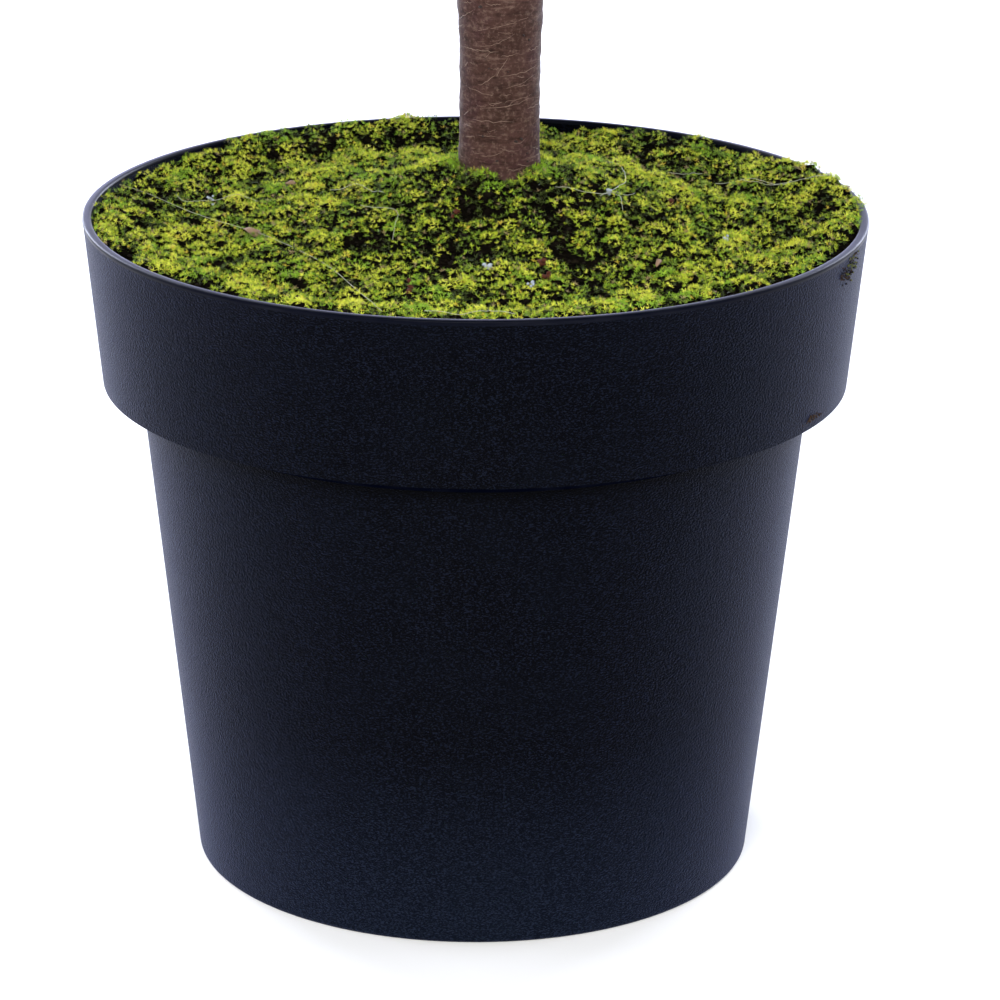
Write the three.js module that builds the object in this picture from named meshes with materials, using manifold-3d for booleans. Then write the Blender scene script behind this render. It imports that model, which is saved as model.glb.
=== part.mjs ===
// A young Norfolk Island pine in a collared nursery pot.
// One straight stem rises from a mossy mound and carries tiers of flat, feathery boughs under an upright tip.
// Millimetres, +Z up. The origin is the middle of the pot's underside.
import * as THREE from "three";
import { mergeVertices } from "three/addons/utils/BufferGeometryUtils.js";
import Module from "manifold-3d";

const wasm = await Module();
wasm.setup();

// Clearance between solids that meet, and a depth by which cutters run past what they cut.
const GAP = 0.3;
const OVERCUT = 1;

// Pot, measured over its outside.
const POT_HEIGHT = 240;
const RIM_RADIUS = 140;
const COLLAR_HEIGHT = 60.3;
const COLLAR_FOOT_RADIUS = 133.8;
const BODY_TOP_RADIUS = 120.5;
const POT_FOOT_RADIUS = 101.3;
const POT_WALL = 2.6;
const POT_FLOOR = 3;
const LIP_WIDTH = 4;
const LIP_DEPTH = 5;
const LIP_ROUND = 1.6;
const EDGE_ROUND = 1.5;
const ROUND_SIDES = 40;
const DRAIN_HOLES = 6;
const DRAIN_RADIUS = 6;
const DRAIN_RING_RADIUS = 72;
const DRAIN_SIDES = 8;

// Soil, with a low mound that the stem stands on, and the mat of moss over it.
const SOIL_LEVEL = 226;
const GROUND = 243;
const MOUND_TOP_RADIUS = 26;
const MOUND_FOOT_RADIUS = 62;
const MOUND_SIDES = 16;
const MOSS_LEVEL = 235;
const MOSS_RADIUS = 135;
const MOSS_RINGS = 7;
const MOSS_SIDES = 32;
const MOSS_MOUND_RISE = 20;
const MOSS_MOUND_SPREAD = 52;
const MOSS_BUMP = 1.8;
const MOSS_BUMP_PITCH = 15;

// Stem.
const STEM_X = 8.2;
const STEM_Y = 10;
const STEM_TOP = 1405;
const STEM_FOOT_RADIUS = 14.1;
const STEM_TOP_RADIUS = 3.1;
const STEM_TAPER = 1.1;
const STEM_FLARE = 0.8;
const STEM_FLARE_HEIGHT = 9;
const STEM_SWAY = 4;
const STEM_SWAY_LENGTH = 1300;
const STEM_SIDES = 10;
const KNOT_RISE = 1.3;
const KNOT_SPREAD = 9;
const OLD_KNOT_HEIGHT = 340;
const OLD_KNOT_RISE = 1.9;
const OLD_KNOT_SPREAD = 34;

// Tiers of boughs, counted from the lowest.
const BOUGHS_IN_TIER = [6, 6, 6, 5, 5, 5, 5, 4];
const TIERS = BOUGHS_IN_TIER.length;
const FIRST_TIER_HEIGHT = 458;
const FIRST_TIER_SPACING = 152;
const TIER_SHRINK = 0.94;
const TIER_TURN = 0.27;
const LOW_REACH = 410;
const TOP_REACH = 138;
const REACH_CURVE = 1.15;
const LOW_RISE = 0.12;
const TOP_RISE = 0.98;
const LOW_SAG = 0.3;
const TOP_SAG = 0.42;
const BOUGH_LIFT = 0.14;
const LOW_LIMB_RADIUS = 4.4;
const TOP_LIMB_RADIUS = 2.3;
const LIMB_TIP_RADIUS = 1.2;
const TIERS_WITH_BARE_BOUGHS = 2;
const BARE_SHARE = 0.19;
const BOUGH_SIDES = 6;
const BOUGH_STEPS = 3;

// Scatter of the boughs, each a share or an angle either way.
const TURN_SCATTER = 0.07;
const REACH_SCATTER = 0.06;
const HEIGHT_SCATTER = 5;
const RISE_SCATTER = 0.05;
const SEED = 5.3;

// Foliage: a stem with needle-clad side shoots, left and right in turn, and a spray at its end.
const FIRST_SHOOT_SHARE = 0.2;
const LOW_SHOOT_STEP = 24;
const TOP_SHOOT_STEP = 19;
const LAST_SHOOT_BEFORE_END = 17;
const SHOOT_REACH_SHARE = 0.3;
const SHOOT_REACH_MORE = 20;
const SHOOT_FADE = 2.2;
const SHOOT_SCATTER = 0.1;
const SHOOT_ANGLE_LOW = 1.14;
const SHOOT_ANGLE_TIP = 0.76;
const LOW_SHOOT_DROOP = 0.3;
const TOP_SHOOT_DROOP = 0.05;
const SHOOT_SHORTEST = 26;
const SHOOT_ROOT_HALF_WIDTH = 2.2;
const TIP_SPRAY_LENGTH = 36;
const SPACE_MARGIN_ANGLE = 0.105;

// A spray is a toothed blade with a flat underside and a ridge.
const SPRAY_WIDTH_SHARE = 0.13;
const SPRAY_WIDTH_MORE = 2;
const SPRAY_ROOT_HALF_WIDTH = 1.2;
const SPRAY_VALLEY_SHARE = 0.38;
const SPRAY_TOOTH_LEAN = 0.94;
const SPRAY_THICK_SHARE = 0.02;
const SPRAY_THICK_MORE = 1.1;
const LONG_SPRAY = 75;
const LONG_SPRAY_TEETH = 3;
const SHORT_SPRAY_TEETH = 2;

// Upright tip of the stem.
const TIP_HEIGHT = 1500;
const TIP_STEM_SHARE = 0.8;
const TIP_STEM_SIDES = 4;
const TIP_SHOOTS = 8;
const TIP_SHOOT_FIRST = 0.12;
const TIP_SHOOT_LAST = 0.76;
const TIP_SHOOT_LONG = 62;
const TIP_SHOOT_SHORT = 30;
const TIP_SHOOT_RISE = 0.95;
const GOLDEN_TURN = 2.39996;

const UP = new THREE.Vector3(0, 0, 1);
const OUTWARD = new THREE.Vector3(1, 0, 0);

// A closed geometry as a solid: shared corners are merged and faces with no area are dropped.
function solidOf(geometry) {
  const bare = new THREE.BufferGeometry();
  bare.setAttribute("position", geometry.getAttribute("position"));
  bare.setIndex(geometry.getIndex());
  const merged = mergeVertices(bare);
  const corners = merged.getIndex().array;
  const triVerts = [];
  for (let i = 0; i < corners.length; i += 3) {
    const [a, b, c] = corners.slice(i, i + 3);
    if (a !== b && b !== c && c !== a) triVerts.push(a, b, c);
  }
  return new wasm.Manifold(
    new wasm.Mesh({
      numProp: 3,
      vertProperties: merged.getAttribute("position").array,
      triVerts: new Uint32Array(triVerts),
    }),
  );
}

// A solid's surface as a geometry.
function geometryOf(solid) {
  const { numProp, numVert, vertProperties, triVerts } = solid.getMesh();
  const positions = new Float32Array(numVert * 3);
  for (let i = 0; i < numVert; i++) {
    positions.set(vertProperties.subarray(i * numProp, i * numProp + 3), i * 3);
  }
  const geometry = new THREE.BufferGeometry();
  geometry.setAttribute("position", new THREE.BufferAttribute(positions, 3));
  geometry.setIndex(new THREE.BufferAttribute(triVerts, 1));
  geometry.computeVertexNormals();
  return geometry;
}

// A named piece of the plant.
function pieceOf(name, solid, material) {
  const mesh = new THREE.Mesh(geometryOf(solid), material);
  mesh.name = name;
  return mesh;
}

// A profile of [radius, height] points turned about the Z axis.
function turned(profile, sides) {
  const points = profile.map(([radius, height]) => new THREE.Vector2(radius, height));
  return new THREE.LatheGeometry(points, sides).rotateX(Math.PI / 2);
}

// Moves each corner of a geometry to where a function puts it.
function reshaped(geometry, place) {
  const positions = geometry.getAttribute("position");
  const corner = new THREE.Vector3();
  for (let i = 0; i < positions.count; i++) {
    place(corner.fromBufferAttribute(positions, i));
    positions.setXYZ(i, corner.x, corner.y, corner.z);
  }
  return geometry;
}

function between(low, high, share) {
  return low + (high - low) * share;
}

// A number from 0 to 1 that is always the same for the same tier, bough and draw.
function seeded(tier, bough, draw) {
  const wave = Math.sin(tier * 12.9898 + bough * 78.233 + draw * 37.719 + SEED) * 43758.5453;
  return wave - Math.floor(wave);
}

// Pot

const COLLAR_FOOT = POT_HEIGHT - COLLAR_HEIGHT;

function collarRadius(height) {
  return between(COLLAR_FOOT_RADIUS, RIM_RADIUS, (height - COLLAR_FOOT) / COLLAR_HEIGHT);
}

function potSolid() {
  const lipInside = RIM_RADIUS - LIP_WIDTH;
  const lipFoot = POT_HEIGHT - LIP_DEPTH;
  const outside = [
    [0, 0],
    [POT_FOOT_RADIUS - EDGE_ROUND, 0],
    [POT_FOOT_RADIUS, EDGE_ROUND],
    [BODY_TOP_RADIUS, COLLAR_FOOT],
    [COLLAR_FOOT_RADIUS - EDGE_ROUND, COLLAR_FOOT],
    [COLLAR_FOOT_RADIUS, COLLAR_FOOT + EDGE_ROUND],
    [RIM_RADIUS, POT_HEIGHT - LIP_ROUND],
    [RIM_RADIUS - LIP_ROUND, POT_HEIGHT],
  ];
  const inside = [
    [lipInside, POT_HEIGHT],
    [lipInside, lipFoot],
    [collarRadius(lipFoot - LIP_WIDTH) - POT_WALL, lipFoot - LIP_WIDTH],
    [COLLAR_FOOT_RADIUS - POT_WALL, COLLAR_FOOT + POT_WALL],
    [BODY_TOP_RADIUS - POT_WALL, COLLAR_FOOT + POT_WALL],
    [POT_FOOT_RADIUS - POT_WALL, POT_FLOOR],
    [0, POT_FLOOR],
  ];
  let pot = solidOf(turned([...outside, ...inside], ROUND_SIDES));
  for (let hole = 0; hole < DRAIN_HOLES; hole++) {
    const turn = (hole / DRAIN_HOLES) * 2 * Math.PI;
    const depth = POT_FLOOR + 2 * OVERCUT;
    const drill = new THREE.CylinderGeometry(DRAIN_RADIUS, DRAIN_RADIUS, depth, DRAIN_SIDES)
      .rotateX(Math.PI / 2)
      .translate(DRAIN_RING_RADIUS, 0, POT_FLOOR / 2)
      .rotateZ(turn);
    pot = pot.subtract(solidOf(drill));
  }
  return pot;
}

// Soil and moss

// The low mound under the stem, or with a clearance a cutter that makes room for it.
function moundSolid(clearance = 0) {
  const profile = [
    [0, SOIL_LEVEL - OVERCUT],
    [MOUND_FOOT_RADIUS + clearance, SOIL_LEVEL - OVERCUT],
    [MOUND_FOOT_RADIUS + clearance, SOIL_LEVEL + clearance],
    [MOUND_TOP_RADIUS + clearance, GROUND + clearance],
    [0, GROUND + clearance],
  ];
  return solidOf(turned(profile, MOUND_SIDES).translate(STEM_X, STEM_Y, 0));
}

function soilSolid() {
  const ledge = COLLAR_FOOT + POT_WALL + GAP;
  const profile = [
    [0, POT_FLOOR + GAP],
    [POT_FOOT_RADIUS - POT_WALL - GAP, POT_FLOOR + GAP],
    [BODY_TOP_RADIUS - POT_WALL - GAP, ledge],
    [COLLAR_FOOT_RADIUS - POT_WALL - GAP, ledge],
    [collarRadius(SOIL_LEVEL) - POT_WALL - GAP, SOIL_LEVEL],
    [0, SOIL_LEVEL],
  ];
  return solidOf(turned(profile, ROUND_SIDES)).add(moundSolid());
}

// How far the moss stands above its level, as cushions and a mound at the stem.
function mossRise(x, y) {
  const fromStem = Math.hypot(x - STEM_X, y - STEM_Y) / MOSS_MOUND_SPREAD;
  const cushions =
    Math.sin(x / MOSS_BUMP_PITCH + 1.3) * Math.sin(y / MOSS_BUMP_PITCH + 0.4) +
    0.6 * Math.sin((x + y) / (0.6 * MOSS_BUMP_PITCH) + 2.1) +
    0.9 * Math.sin(x / (4 * MOSS_BUMP_PITCH) + 0.5);
  return MOSS_MOUND_RISE * Math.exp(-fromStem * fromStem) + MOSS_BUMP * cushions;
}

function mossSolid(stemCutter) {
  const underside = SOIL_LEVEL + GAP;
  const profile = [
    [0, underside],
    [MOSS_RADIUS, underside],
  ];
  for (let ring = MOSS_RINGS; ring >= 0; ring--) {
    profile.push([(MOSS_RADIUS * ring) / MOSS_RINGS, MOSS_LEVEL]);
  }
  const mat = reshaped(turned(profile, MOSS_SIDES), (corner) => {
    if (corner.z > underside + OVERCUT) corner.z += mossRise(corner.x, corner.y);
  });
  return solidOf(mat).subtract(moundSolid(GAP)).subtract(stemCutter);
}

// Stem

function tierHeight(tier) {
  const spacings = (1 - TIER_SHRINK ** tier) / (1 - TIER_SHRINK);
  return FIRST_TIER_HEIGHT + FIRST_TIER_SPACING * spacings;
}

const KNOTS = BOUGHS_IN_TIER.map((_, tier) => tierHeight(tier));

// A swelling of height 1 that dies away over its spread.
function swelling(distance, spread) {
  return Math.exp(-((distance / spread) ** 2));
}

function stemShare(height) {
  return THREE.MathUtils.clamp((height - GROUND) / (STEM_TOP - GROUND), 0, 1);
}

function stemRadius(height) {
  const taper = between(STEM_FOOT_RADIUS, STEM_TOP_RADIUS, stemShare(height) ** STEM_TAPER);
  const flare = STEM_FLARE * Math.exp(-(height - GROUND) / STEM_FLARE_HEIGHT);
  const oldKnot = OLD_KNOT_RISE * swelling(height - OLD_KNOT_HEIGHT, OLD_KNOT_SPREAD);
  const knots = KNOTS.map((knot) => swelling(height - knot, KNOT_SPREAD));
  return taper + flare + oldKnot + KNOT_RISE * Math.max(...knots) * (taper / STEM_FOOT_RADIUS);
}

// The stem's middle line, upright at the foot and swaying a little higher up.
function stemAxis(height) {
  const along = Math.max(0, height - GROUND) / STEM_SWAY_LENGTH;
  const sway = STEM_SWAY * along * Math.sin(along * 2 * Math.PI);
  return new THREE.Vector3(STEM_X + sway, STEM_Y - sway, height);
}

// The stem, or with a clearance a cutter that makes room for it.
function stemSolid(clearance = 0) {
  const foot = clearance ? GROUND - OVERCUT : GROUND + GAP;
  const rings = [foot, GROUND + STEM_FLARE_HEIGHT];
  for (let step = -2; step <= 2; step++) rings.push(OLD_KNOT_HEIGHT + 0.8 * step * OLD_KNOT_SPREAD);
  for (const knot of KNOTS) rings.push(knot - 2 * KNOT_SPREAD, knot, knot + 2 * KNOT_SPREAD);
  const top = STEM_TOP + (clearance ? OVERCUT : 0);
  rings.push(top);
  const wall = rings.map((height) => [stemRadius(height) + clearance, height]);
  const stem = turned([[0, foot], ...wall, [0, top]], STEM_SIDES);
  return solidOf(
    reshaped(stem, (corner) => {
      const axis = stemAxis(corner.z);
      corner.x += axis.x;
      corner.y += axis.y;
    }),
  );
}

// Boughs

// Where one bough stands and how it bends, with its scatter.
function boughPlan(tier, bough) {
  const share = tier / (TIERS - 1);
  const count = BOUGHS_IN_TIER[tier];
  const scatter = (draw, spread) => (2 * seeded(tier, bough, draw) - 1) * spread;
  const reach = between(LOW_REACH, TOP_REACH, share ** REACH_CURVE);
  return {
    tier,
    bough,
    halfSpace: Math.PI / count - SPACE_MARGIN_ANGLE,
    azimuth: (bough / count + TIER_TURN * tier) * 2 * Math.PI + scatter(1, TURN_SCATTER),
    height: tierHeight(tier) + scatter(2, HEIGHT_SCATTER),
    reach: reach * (1 + scatter(3, REACH_SCATTER)),
    rise: between(LOW_RISE, TOP_RISE, share) + scatter(4, RISE_SCATTER),
    sag: between(LOW_SAG, TOP_SAG, share),
    droop: between(LOW_SHOOT_DROOP, TOP_SHOOT_DROOP, share),
    shootStep: between(LOW_SHOOT_STEP, TOP_SHOOT_STEP, share),
    rootRadius: between(LOW_LIMB_RADIUS, TOP_LIMB_RADIUS, share),
    bareShare: tier < TIERS_WITH_BARE_BOUGHS ? BARE_SHARE : 0,
  };
}

// A stretch of a bough's middle line, in its own frame: X outward from the stem's axis, Z up.
class BoughCurve extends THREE.Curve {
  constructor(plan, from, to) {
    super();
    Object.assign(this, { plan, from, to });
  }

  getPoint(t, target = new THREE.Vector3()) {
    const { reach, rise, sag } = this.plan;
    const u = between(this.from, this.to, t);
    return target.set(reach * u, 0, reach * u * (rise - sag * u + BOUGH_LIFT * u * u));
  }
}

function limbRadius(plan, share) {
  return between(plan.rootRadius, LIMB_TIP_RADIUS, share);
}

// Directions square to a curve: to its left, seen from above, and above it.
function acrossCurve(curve, t) {
  const tangent = curve.getTangent(t);
  const level = Math.abs(tangent.z) < 0.99 ? UP : OUTWARD;
  const left = new THREE.Vector3().crossVectors(level, tangent).normalize();
  const above = new THREE.Vector3().crossVectors(tangent, left);
  return { left, above };
}

// A tapering limb: a cone bent so that its axis follows a curve.
function limbSolid(curve, rootRadius, tipRadius, sides, steps) {
  const cone = new THREE.CylinderGeometry(tipRadius, rootRadius, 1, sides, steps);
  const bent = reshaped(cone, (corner) => {
    const t = corner.y + 0.5;
    const { left, above } = acrossCurve(curve, t);
    const { x, z } = corner;
    corner.copy(curve.getPoint(t)).addScaledVector(above, x).addScaledVector(left, z);
  });
  return solidOf(bent);
}

function boughSolid(plan) {
  const curve = new BoughCurve(plan, 0, plan.bareShare);
  const tipRadius = limbRadius(plan, plan.bareShare);
  return limbSolid(curve, plan.rootRadius, tipRadius, BOUGH_SIDES, BOUGH_STEPS);
}

// Foliage

// A surface that is put together corner by corner and face by face.
class Surface {
  positions = [];
  faces = [];

  corner({ x, y, z }) {
    return this.positions.push(x, y, z) / 3 - 1;
  }

  face(a, b, c) {
    this.faces.push(a, b, c);
  }

  solid() {
    const geometry = new THREE.BufferGeometry();
    geometry.setAttribute("position", new THREE.Float32BufferAttribute(this.positions, 3));
    geometry.setIndex(this.faces);
    return solidOf(geometry);
  }
}

// The frame of a spray: X along it, Z on the side of the given normal, its root at the origin.
function sprayFrame(root, direction, normal) {
  const along = direction.clone().normalize();
  const across = new THREE.Vector3().crossVectors(normal, along).normalize();
  const above = new THREE.Vector3().crossVectors(along, across);
  return new THREE.Matrix4().makeBasis(along, across, above).setPosition(root);
}

// Draws a spray of needles out of three corners of a surface: its ridge, its left and its right root.
function growSpray(surface, rootCorners, frame, length) {
  const teeth = length > LONG_SPRAY ? LONG_SPRAY_TEETH : SHORT_SPRAY_TEETH;
  const halfWidth = SPRAY_WIDTH_SHARE * length + SPRAY_WIDTH_MORE;
  const thick = SPRAY_THICK_SHARE * length + SPRAY_THICK_MORE;
  const step = length / (teeth + 1);
  const corner = (x, y, z) => surface.corner(new THREE.Vector3(x, y, z).applyMatrix4(frame));
  let near = rootCorners;
  for (let k = 1; k <= teeth; k++) {
    const fade = 1 - (k / (teeth + 1)) ** 2;
    const valley = SPRAY_VALLEY_SHARE * halfWidth * fade;
    const toothAt = step * (k - 1 + SPRAY_TOOTH_LEAN);
    const tooth = halfWidth * (1 - ((k - 1) / (teeth + 1)) ** 3);
    const leftTooth = corner(toothAt, tooth, -thick / 2);
    const rightTooth = corner(toothAt, -tooth, -thick / 2);
    const far = {
      ridge: corner(step * k, 0, thick * (0.7 * fade - 0.2)),
      left: corner(step * k, valley, -thick / 2),
      right: corner(step * k, -valley, -thick / 2),
    };
    surface.face(near.ridge, far.ridge, far.left);
    surface.face(near.ridge, far.left, leftTooth);
    surface.face(near.ridge, leftTooth, near.left);
    surface.face(far.ridge, near.ridge, far.right);
    surface.face(far.right, near.ridge, rightTooth);
    surface.face(rightTooth, near.ridge, near.right);
    surface.face(near.left, leftTooth, far.left);
    surface.face(near.right, far.right, rightTooth);
    surface.face(near.left, far.left, near.right);
    surface.face(near.right, far.left, far.right);
    near = far;
  }
  const point = corner(length, 0, -thick / 2);
  surface.face(near.ridge, point, near.left);
  surface.face(point, near.ridge, near.right);
  surface.face(near.left, point, near.right);
}

// A spray that stands alone, closed at its root.
function spraySolid(root, direction, normal, length) {
  const surface = new Surface();
  const frame = sprayFrame(root, direction, normal);
  const half = SPRAY_ROOT_HALF_WIDTH;
  const corner = (y, z) => surface.corner(new THREE.Vector3(0, y, z).applyMatrix4(frame));
  const rootCorners = { ridge: corner(0, half), left: corner(half, -half), right: corner(-half, -half) };
  surface.face(rootCorners.ridge, rootCorners.left, rootCorners.right);
  growSpray(surface, rootCorners, frame, length);
  return surface.solid();
}

// The longest side shoot that a bough allows at a share of its reach, kept inside the bough's own wedge.
function shootLength(plan, share, angle) {
  const grown = (SHOOT_REACH_SHARE * plan.reach + SHOOT_REACH_MORE) * (1 - share ** SHOOT_FADE);
  const wedge = Math.tan(plan.halfSpace);
  const width = SPRAY_WIDTH_SHARE * grown + SPRAY_WIDTH_MORE;
  const room = share * plan.reach * wedge - width;
  const opening = Math.sin(angle) - wedge * Math.cos(angle);
  return opening > 0 ? Math.min(grown, room / opening) : grown;
}

// Side shoots of a bough, left and right in turn; one that has no room is skipped.
function shootPlans(plan, endShare) {
  const shoots = [];
  const step = plan.shootStep / plan.reach;
  const lastShare = endShare - LAST_SHOOT_BEFORE_END / plan.reach;
  let draw = 0;
  for (let share = FIRST_SHOOT_SHARE + step / 2; share < lastShare; share += step) {
    const angle = between(SHOOT_ANGLE_LOW, SHOOT_ANGLE_TIP, share);
    const scatter = 1 - SHOOT_SCATTER * seeded(plan.tier, plan.bough, 10 + draw);
    const length = shootLength(plan, share, angle) * scatter;
    const hand = draw % 2 ? 1 : -1;
    if (length > SHOOT_SHORTEST) shoots.push({ share, angle, length, hand });
    draw += 1;
  }
  return shoots;
}

// Fills the strip between two rows of corners, each sorted along the stem, and leaves the shoots' roots open.
function fillStrip(surface, rowA, rowB, leaveOpen) {
  let i = 0;
  let j = 0;
  while (i + 1 < rowA.length || j + 1 < rowB.length) {
    const a = rowA[i];
    const b = rowB[j];
    const nextA = rowA[i + 1];
    const nextB = rowB[j + 1];
    if (nextA && (!nextB || nextA.share < nextB.share)) {
      if (!(leaveOpen && a.opens)) surface.face(a.corner, nextA.corner, b.corner);
      i += 1;
    } else {
      if (!(leaveOpen && b.opens)) surface.face(a.corner, nextB.corner, b.corner);
      j += 1;
    }
  }
}

// A frond as one surface: a three-sided stem, side shoots drawn from its lower edges, a spray at its end.
function foliageSolid(plan) {
  const surface = new Surface();
  const curve = new BoughCurve(plan, 0, 1);
  const rows = { ridge: [], left: [], right: [] };

  const addCorner = (row, share, opens = false) => {
    const radius = limbRadius(plan, share);
    const { left, above } = acrossCurve(curve, share);
    const point = curve.getPoint(share);
    const lift = row === "ridge" ? 1 : -0.5;
    const sideways = { ridge: 0, left: 1, right: -1 }[row];
    point.addScaledVector(above, lift * radius).addScaledVector(left, sideways * radius);
    const corner = surface.corner(point);
    rows[row].push({ share, corner, opens });
    return corner;
  };
  const addSection = (share) => ({
    ridge: addCorner("ridge", share),
    left: addCorner("left", share),
    right: addCorner("right", share),
  });

  const startShare = plan.bareShare ? plan.bareShare + GAP / plan.reach : 0;
  const endShare = 1 - TIP_SPRAY_LENGTH / plan.reach;
  const start = addSection(startShare);
  surface.face(start.ridge, start.left, start.right);

  const rootShare = SHOOT_ROOT_HALF_WIDTH / plan.reach;
  for (const { share, angle, length, hand } of shootPlans(plan, endShare)) {
    const row = hand > 0 ? "left" : "right";
    const inner = addCorner(row, share - rootShare, true);
    const ridge = addCorner("ridge", share);
    const outer = addCorner(row, share + rootShare);
    const { left } = acrossCurve(curve, share);
    const direction = curve.getTangent(share).multiplyScalar(Math.cos(angle));
    direction.addScaledVector(left, hand * Math.sin(angle)).addScaledVector(UP, -plan.droop);
    const roots = hand > 0 ? { ridge, left: inner, right: outer } : { ridge, left: outer, right: inner };
    growSpray(surface, roots, sprayFrame(curve.getPoint(share), direction, UP), length);
  }

  const end = addSection(endShare);
  fillStrip(surface, rows.ridge, rows.left, true);
  fillStrip(surface, rows.left, rows.right, false);
  fillStrip(surface, rows.right, rows.ridge, true);

  const tipRoot = curve.getPoint(endShare);
  const tipWay = new THREE.Vector3().subVectors(curve.getPoint(1), tipRoot);
  growSpray(surface, end, sprayFrame(tipRoot, tipWay, UP), tipWay.length());
  return surface.solid();
}

// The upright tip: a short stem with steep shoots set round it in a spiral.
function leaderSolid() {
  const foot = stemAxis(STEM_TOP);
  foot.z += GAP;
  const height = TIP_HEIGHT - foot.z;
  const end = foot.clone().addScaledVector(UP, height * TIP_STEM_SHARE);
  const line = new THREE.LineCurve3(foot, end);
  let leader = limbSolid(line, STEM_TOP_RADIUS, LIMB_TIP_RADIUS, TIP_STEM_SIDES, 1);
  for (let shoot = 0; shoot < TIP_SHOOTS; shoot++) {
    const share = shoot / (TIP_SHOOTS - 1);
    const at = between(TIP_SHOOT_FIRST, TIP_SHOOT_LAST, share);
    const turn = shoot * GOLDEN_TURN;
    const out = new THREE.Vector3(Math.cos(turn), Math.sin(turn), 0);
    const way = out.clone().multiplyScalar(Math.cos(TIP_SHOOT_RISE));
    way.addScaledVector(UP, Math.sin(TIP_SHOOT_RISE));
    const inward = out.clone().multiplyScalar(-1);
    const root = foot.clone().addScaledVector(UP, height * at);
    const length = between(TIP_SHOOT_LONG, TIP_SHOOT_SHORT, share);
    leader = leader.add(spraySolid(root, way, inward, length));
  }
  const topRoot = foot.clone().addScaledVector(UP, height * TIP_SHOOT_LAST);
  return leader.add(spraySolid(topRoot, UP, OUTWARD, TIP_HEIGHT - topRoot.z));
}

// Finishes
const potPlastic = new THREE.MeshStandardMaterial({ color: 0x15171d, roughness: 0.55, metalness: 0 });
const darkSoil = new THREE.MeshStandardMaterial({ color: 0x241a12, roughness: 1, metalness: 0 });
const yellowMoss = new THREE.MeshStandardMaterial({ color: 0x8f9a1c, roughness: 0.95, metalness: 0 });
const stemBark = new THREE.MeshStandardMaterial({ color: 0x4b3631, roughness: 0.7, metalness: 0 });
const boughBark = new THREE.MeshStandardMaterial({ color: 0x5a4a30, roughness: 0.8, metalness: 0 });
const needleGreen = new THREE.MeshStandardMaterial({ color: 0x3f7a2b, roughness: 0.6, metalness: 0 });

const stemCutter = stemSolid(GAP);

const pot = new THREE.Group();
pot.add(pieceOf("pot", potSolid(), potPlastic));
pot.add(pieceOf("potting_soil", soilSolid(), darkSoil));
pot.add(pieceOf("moss_mat", mossSolid(stemCutter), yellowMoss));

const tree = new THREE.Group();
tree.add(pieceOf("trunk", stemSolid(), stemBark));
tree.add(pieceOf("leader_tip", leaderSolid(), needleGreen));

for (let tier = 0; tier < TIERS; tier++) {
  for (let bough = 0; bough < BOUGHS_IN_TIER[tier]; bough++) {
    const plan = boughPlan(tier, bough);
    const frame = new THREE.Group();
    frame.position.copy(stemAxis(plan.height));
    frame.rotation.z = plan.azimuth;
    frame.updateMatrix();
    const cutter = stemCutter.transform(frame.matrix.clone().invert().elements);
    const place = `${tier + 1}_${bough + 1}`;
    const foliage = foliageSolid(plan);
    if (plan.bareShare) {
      frame.add(pieceOf(`bough_${place}`, boughSolid(plan).subtract(cutter), boughBark));
      frame.add(pieceOf(`foliage_${place}`, foliage, needleGreen));
    } else {
      frame.add(pieceOf(`foliage_${place}`, foliage.subtract(cutter), needleGreen));
    }
    tree.add(frame);
  }
}

const plant = new THREE.Group();
plant.name = "potted_pine";
plant.add(pot, tree);

export default plant;
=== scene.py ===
"""A young Norfolk Island pine in a black collared pot, dressed with its bark, needles and living moss.

Metres, +Z up, origin in the middle of the pot's underside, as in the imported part.
"""
import math

import bpy
import numpy as np
from mathutils import Matrix, Vector, noise


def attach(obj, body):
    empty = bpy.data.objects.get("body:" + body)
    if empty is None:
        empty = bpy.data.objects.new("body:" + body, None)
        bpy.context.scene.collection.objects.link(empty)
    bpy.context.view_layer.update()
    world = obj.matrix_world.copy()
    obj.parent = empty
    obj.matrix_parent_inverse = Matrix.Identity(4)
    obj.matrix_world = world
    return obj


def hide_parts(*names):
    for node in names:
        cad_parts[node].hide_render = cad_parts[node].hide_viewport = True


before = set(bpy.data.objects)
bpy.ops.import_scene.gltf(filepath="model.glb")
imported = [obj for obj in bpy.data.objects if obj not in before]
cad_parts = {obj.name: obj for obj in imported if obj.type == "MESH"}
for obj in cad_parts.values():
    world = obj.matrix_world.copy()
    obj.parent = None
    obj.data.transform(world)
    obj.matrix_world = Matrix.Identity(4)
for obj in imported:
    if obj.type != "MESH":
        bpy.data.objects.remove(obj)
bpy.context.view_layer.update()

MM = 0.001

# Pot, measured over its outside.
POT_HEIGHT = 240 * MM
RIM_RADIUS = 140 * MM
COLLAR_HEIGHT = 60.3 * MM
COLLAR_FOOT_RADIUS = 133.8 * MM
BODY_TOP_RADIUS = 120.5 * MM
POT_FOOT_RADIUS = 101.3 * MM
POT_WALL = 2.6 * MM
POT_FLOOR = 3 * MM
LIP_WIDTH = 3.3 * MM
LIP_BAND = 1.9 * MM
LIP_BEAD = 0.3 * MM
LIP_DEPTH = 5 * MM
FOOT_RING_WIDTH = 8 * MM
FOOT_RECESS = 0.6 * MM
# Height up to which light bounced from the floor is painted onto the pot's foot.
FLOOR_LIGHT_TOP = 75 * MM
POT_SIDES = 160
# Ring on the body under the collar where shade is painted, and how far the painted shade fades below it.
SHADE_BAND = 5.8 * MM
SHADE_FADE = 4 * MM
DRAIN_HOLES = 6
DRAIN_RADIUS = 6 * MM
DRAIN_RING_RADIUS = 72 * MM

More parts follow.
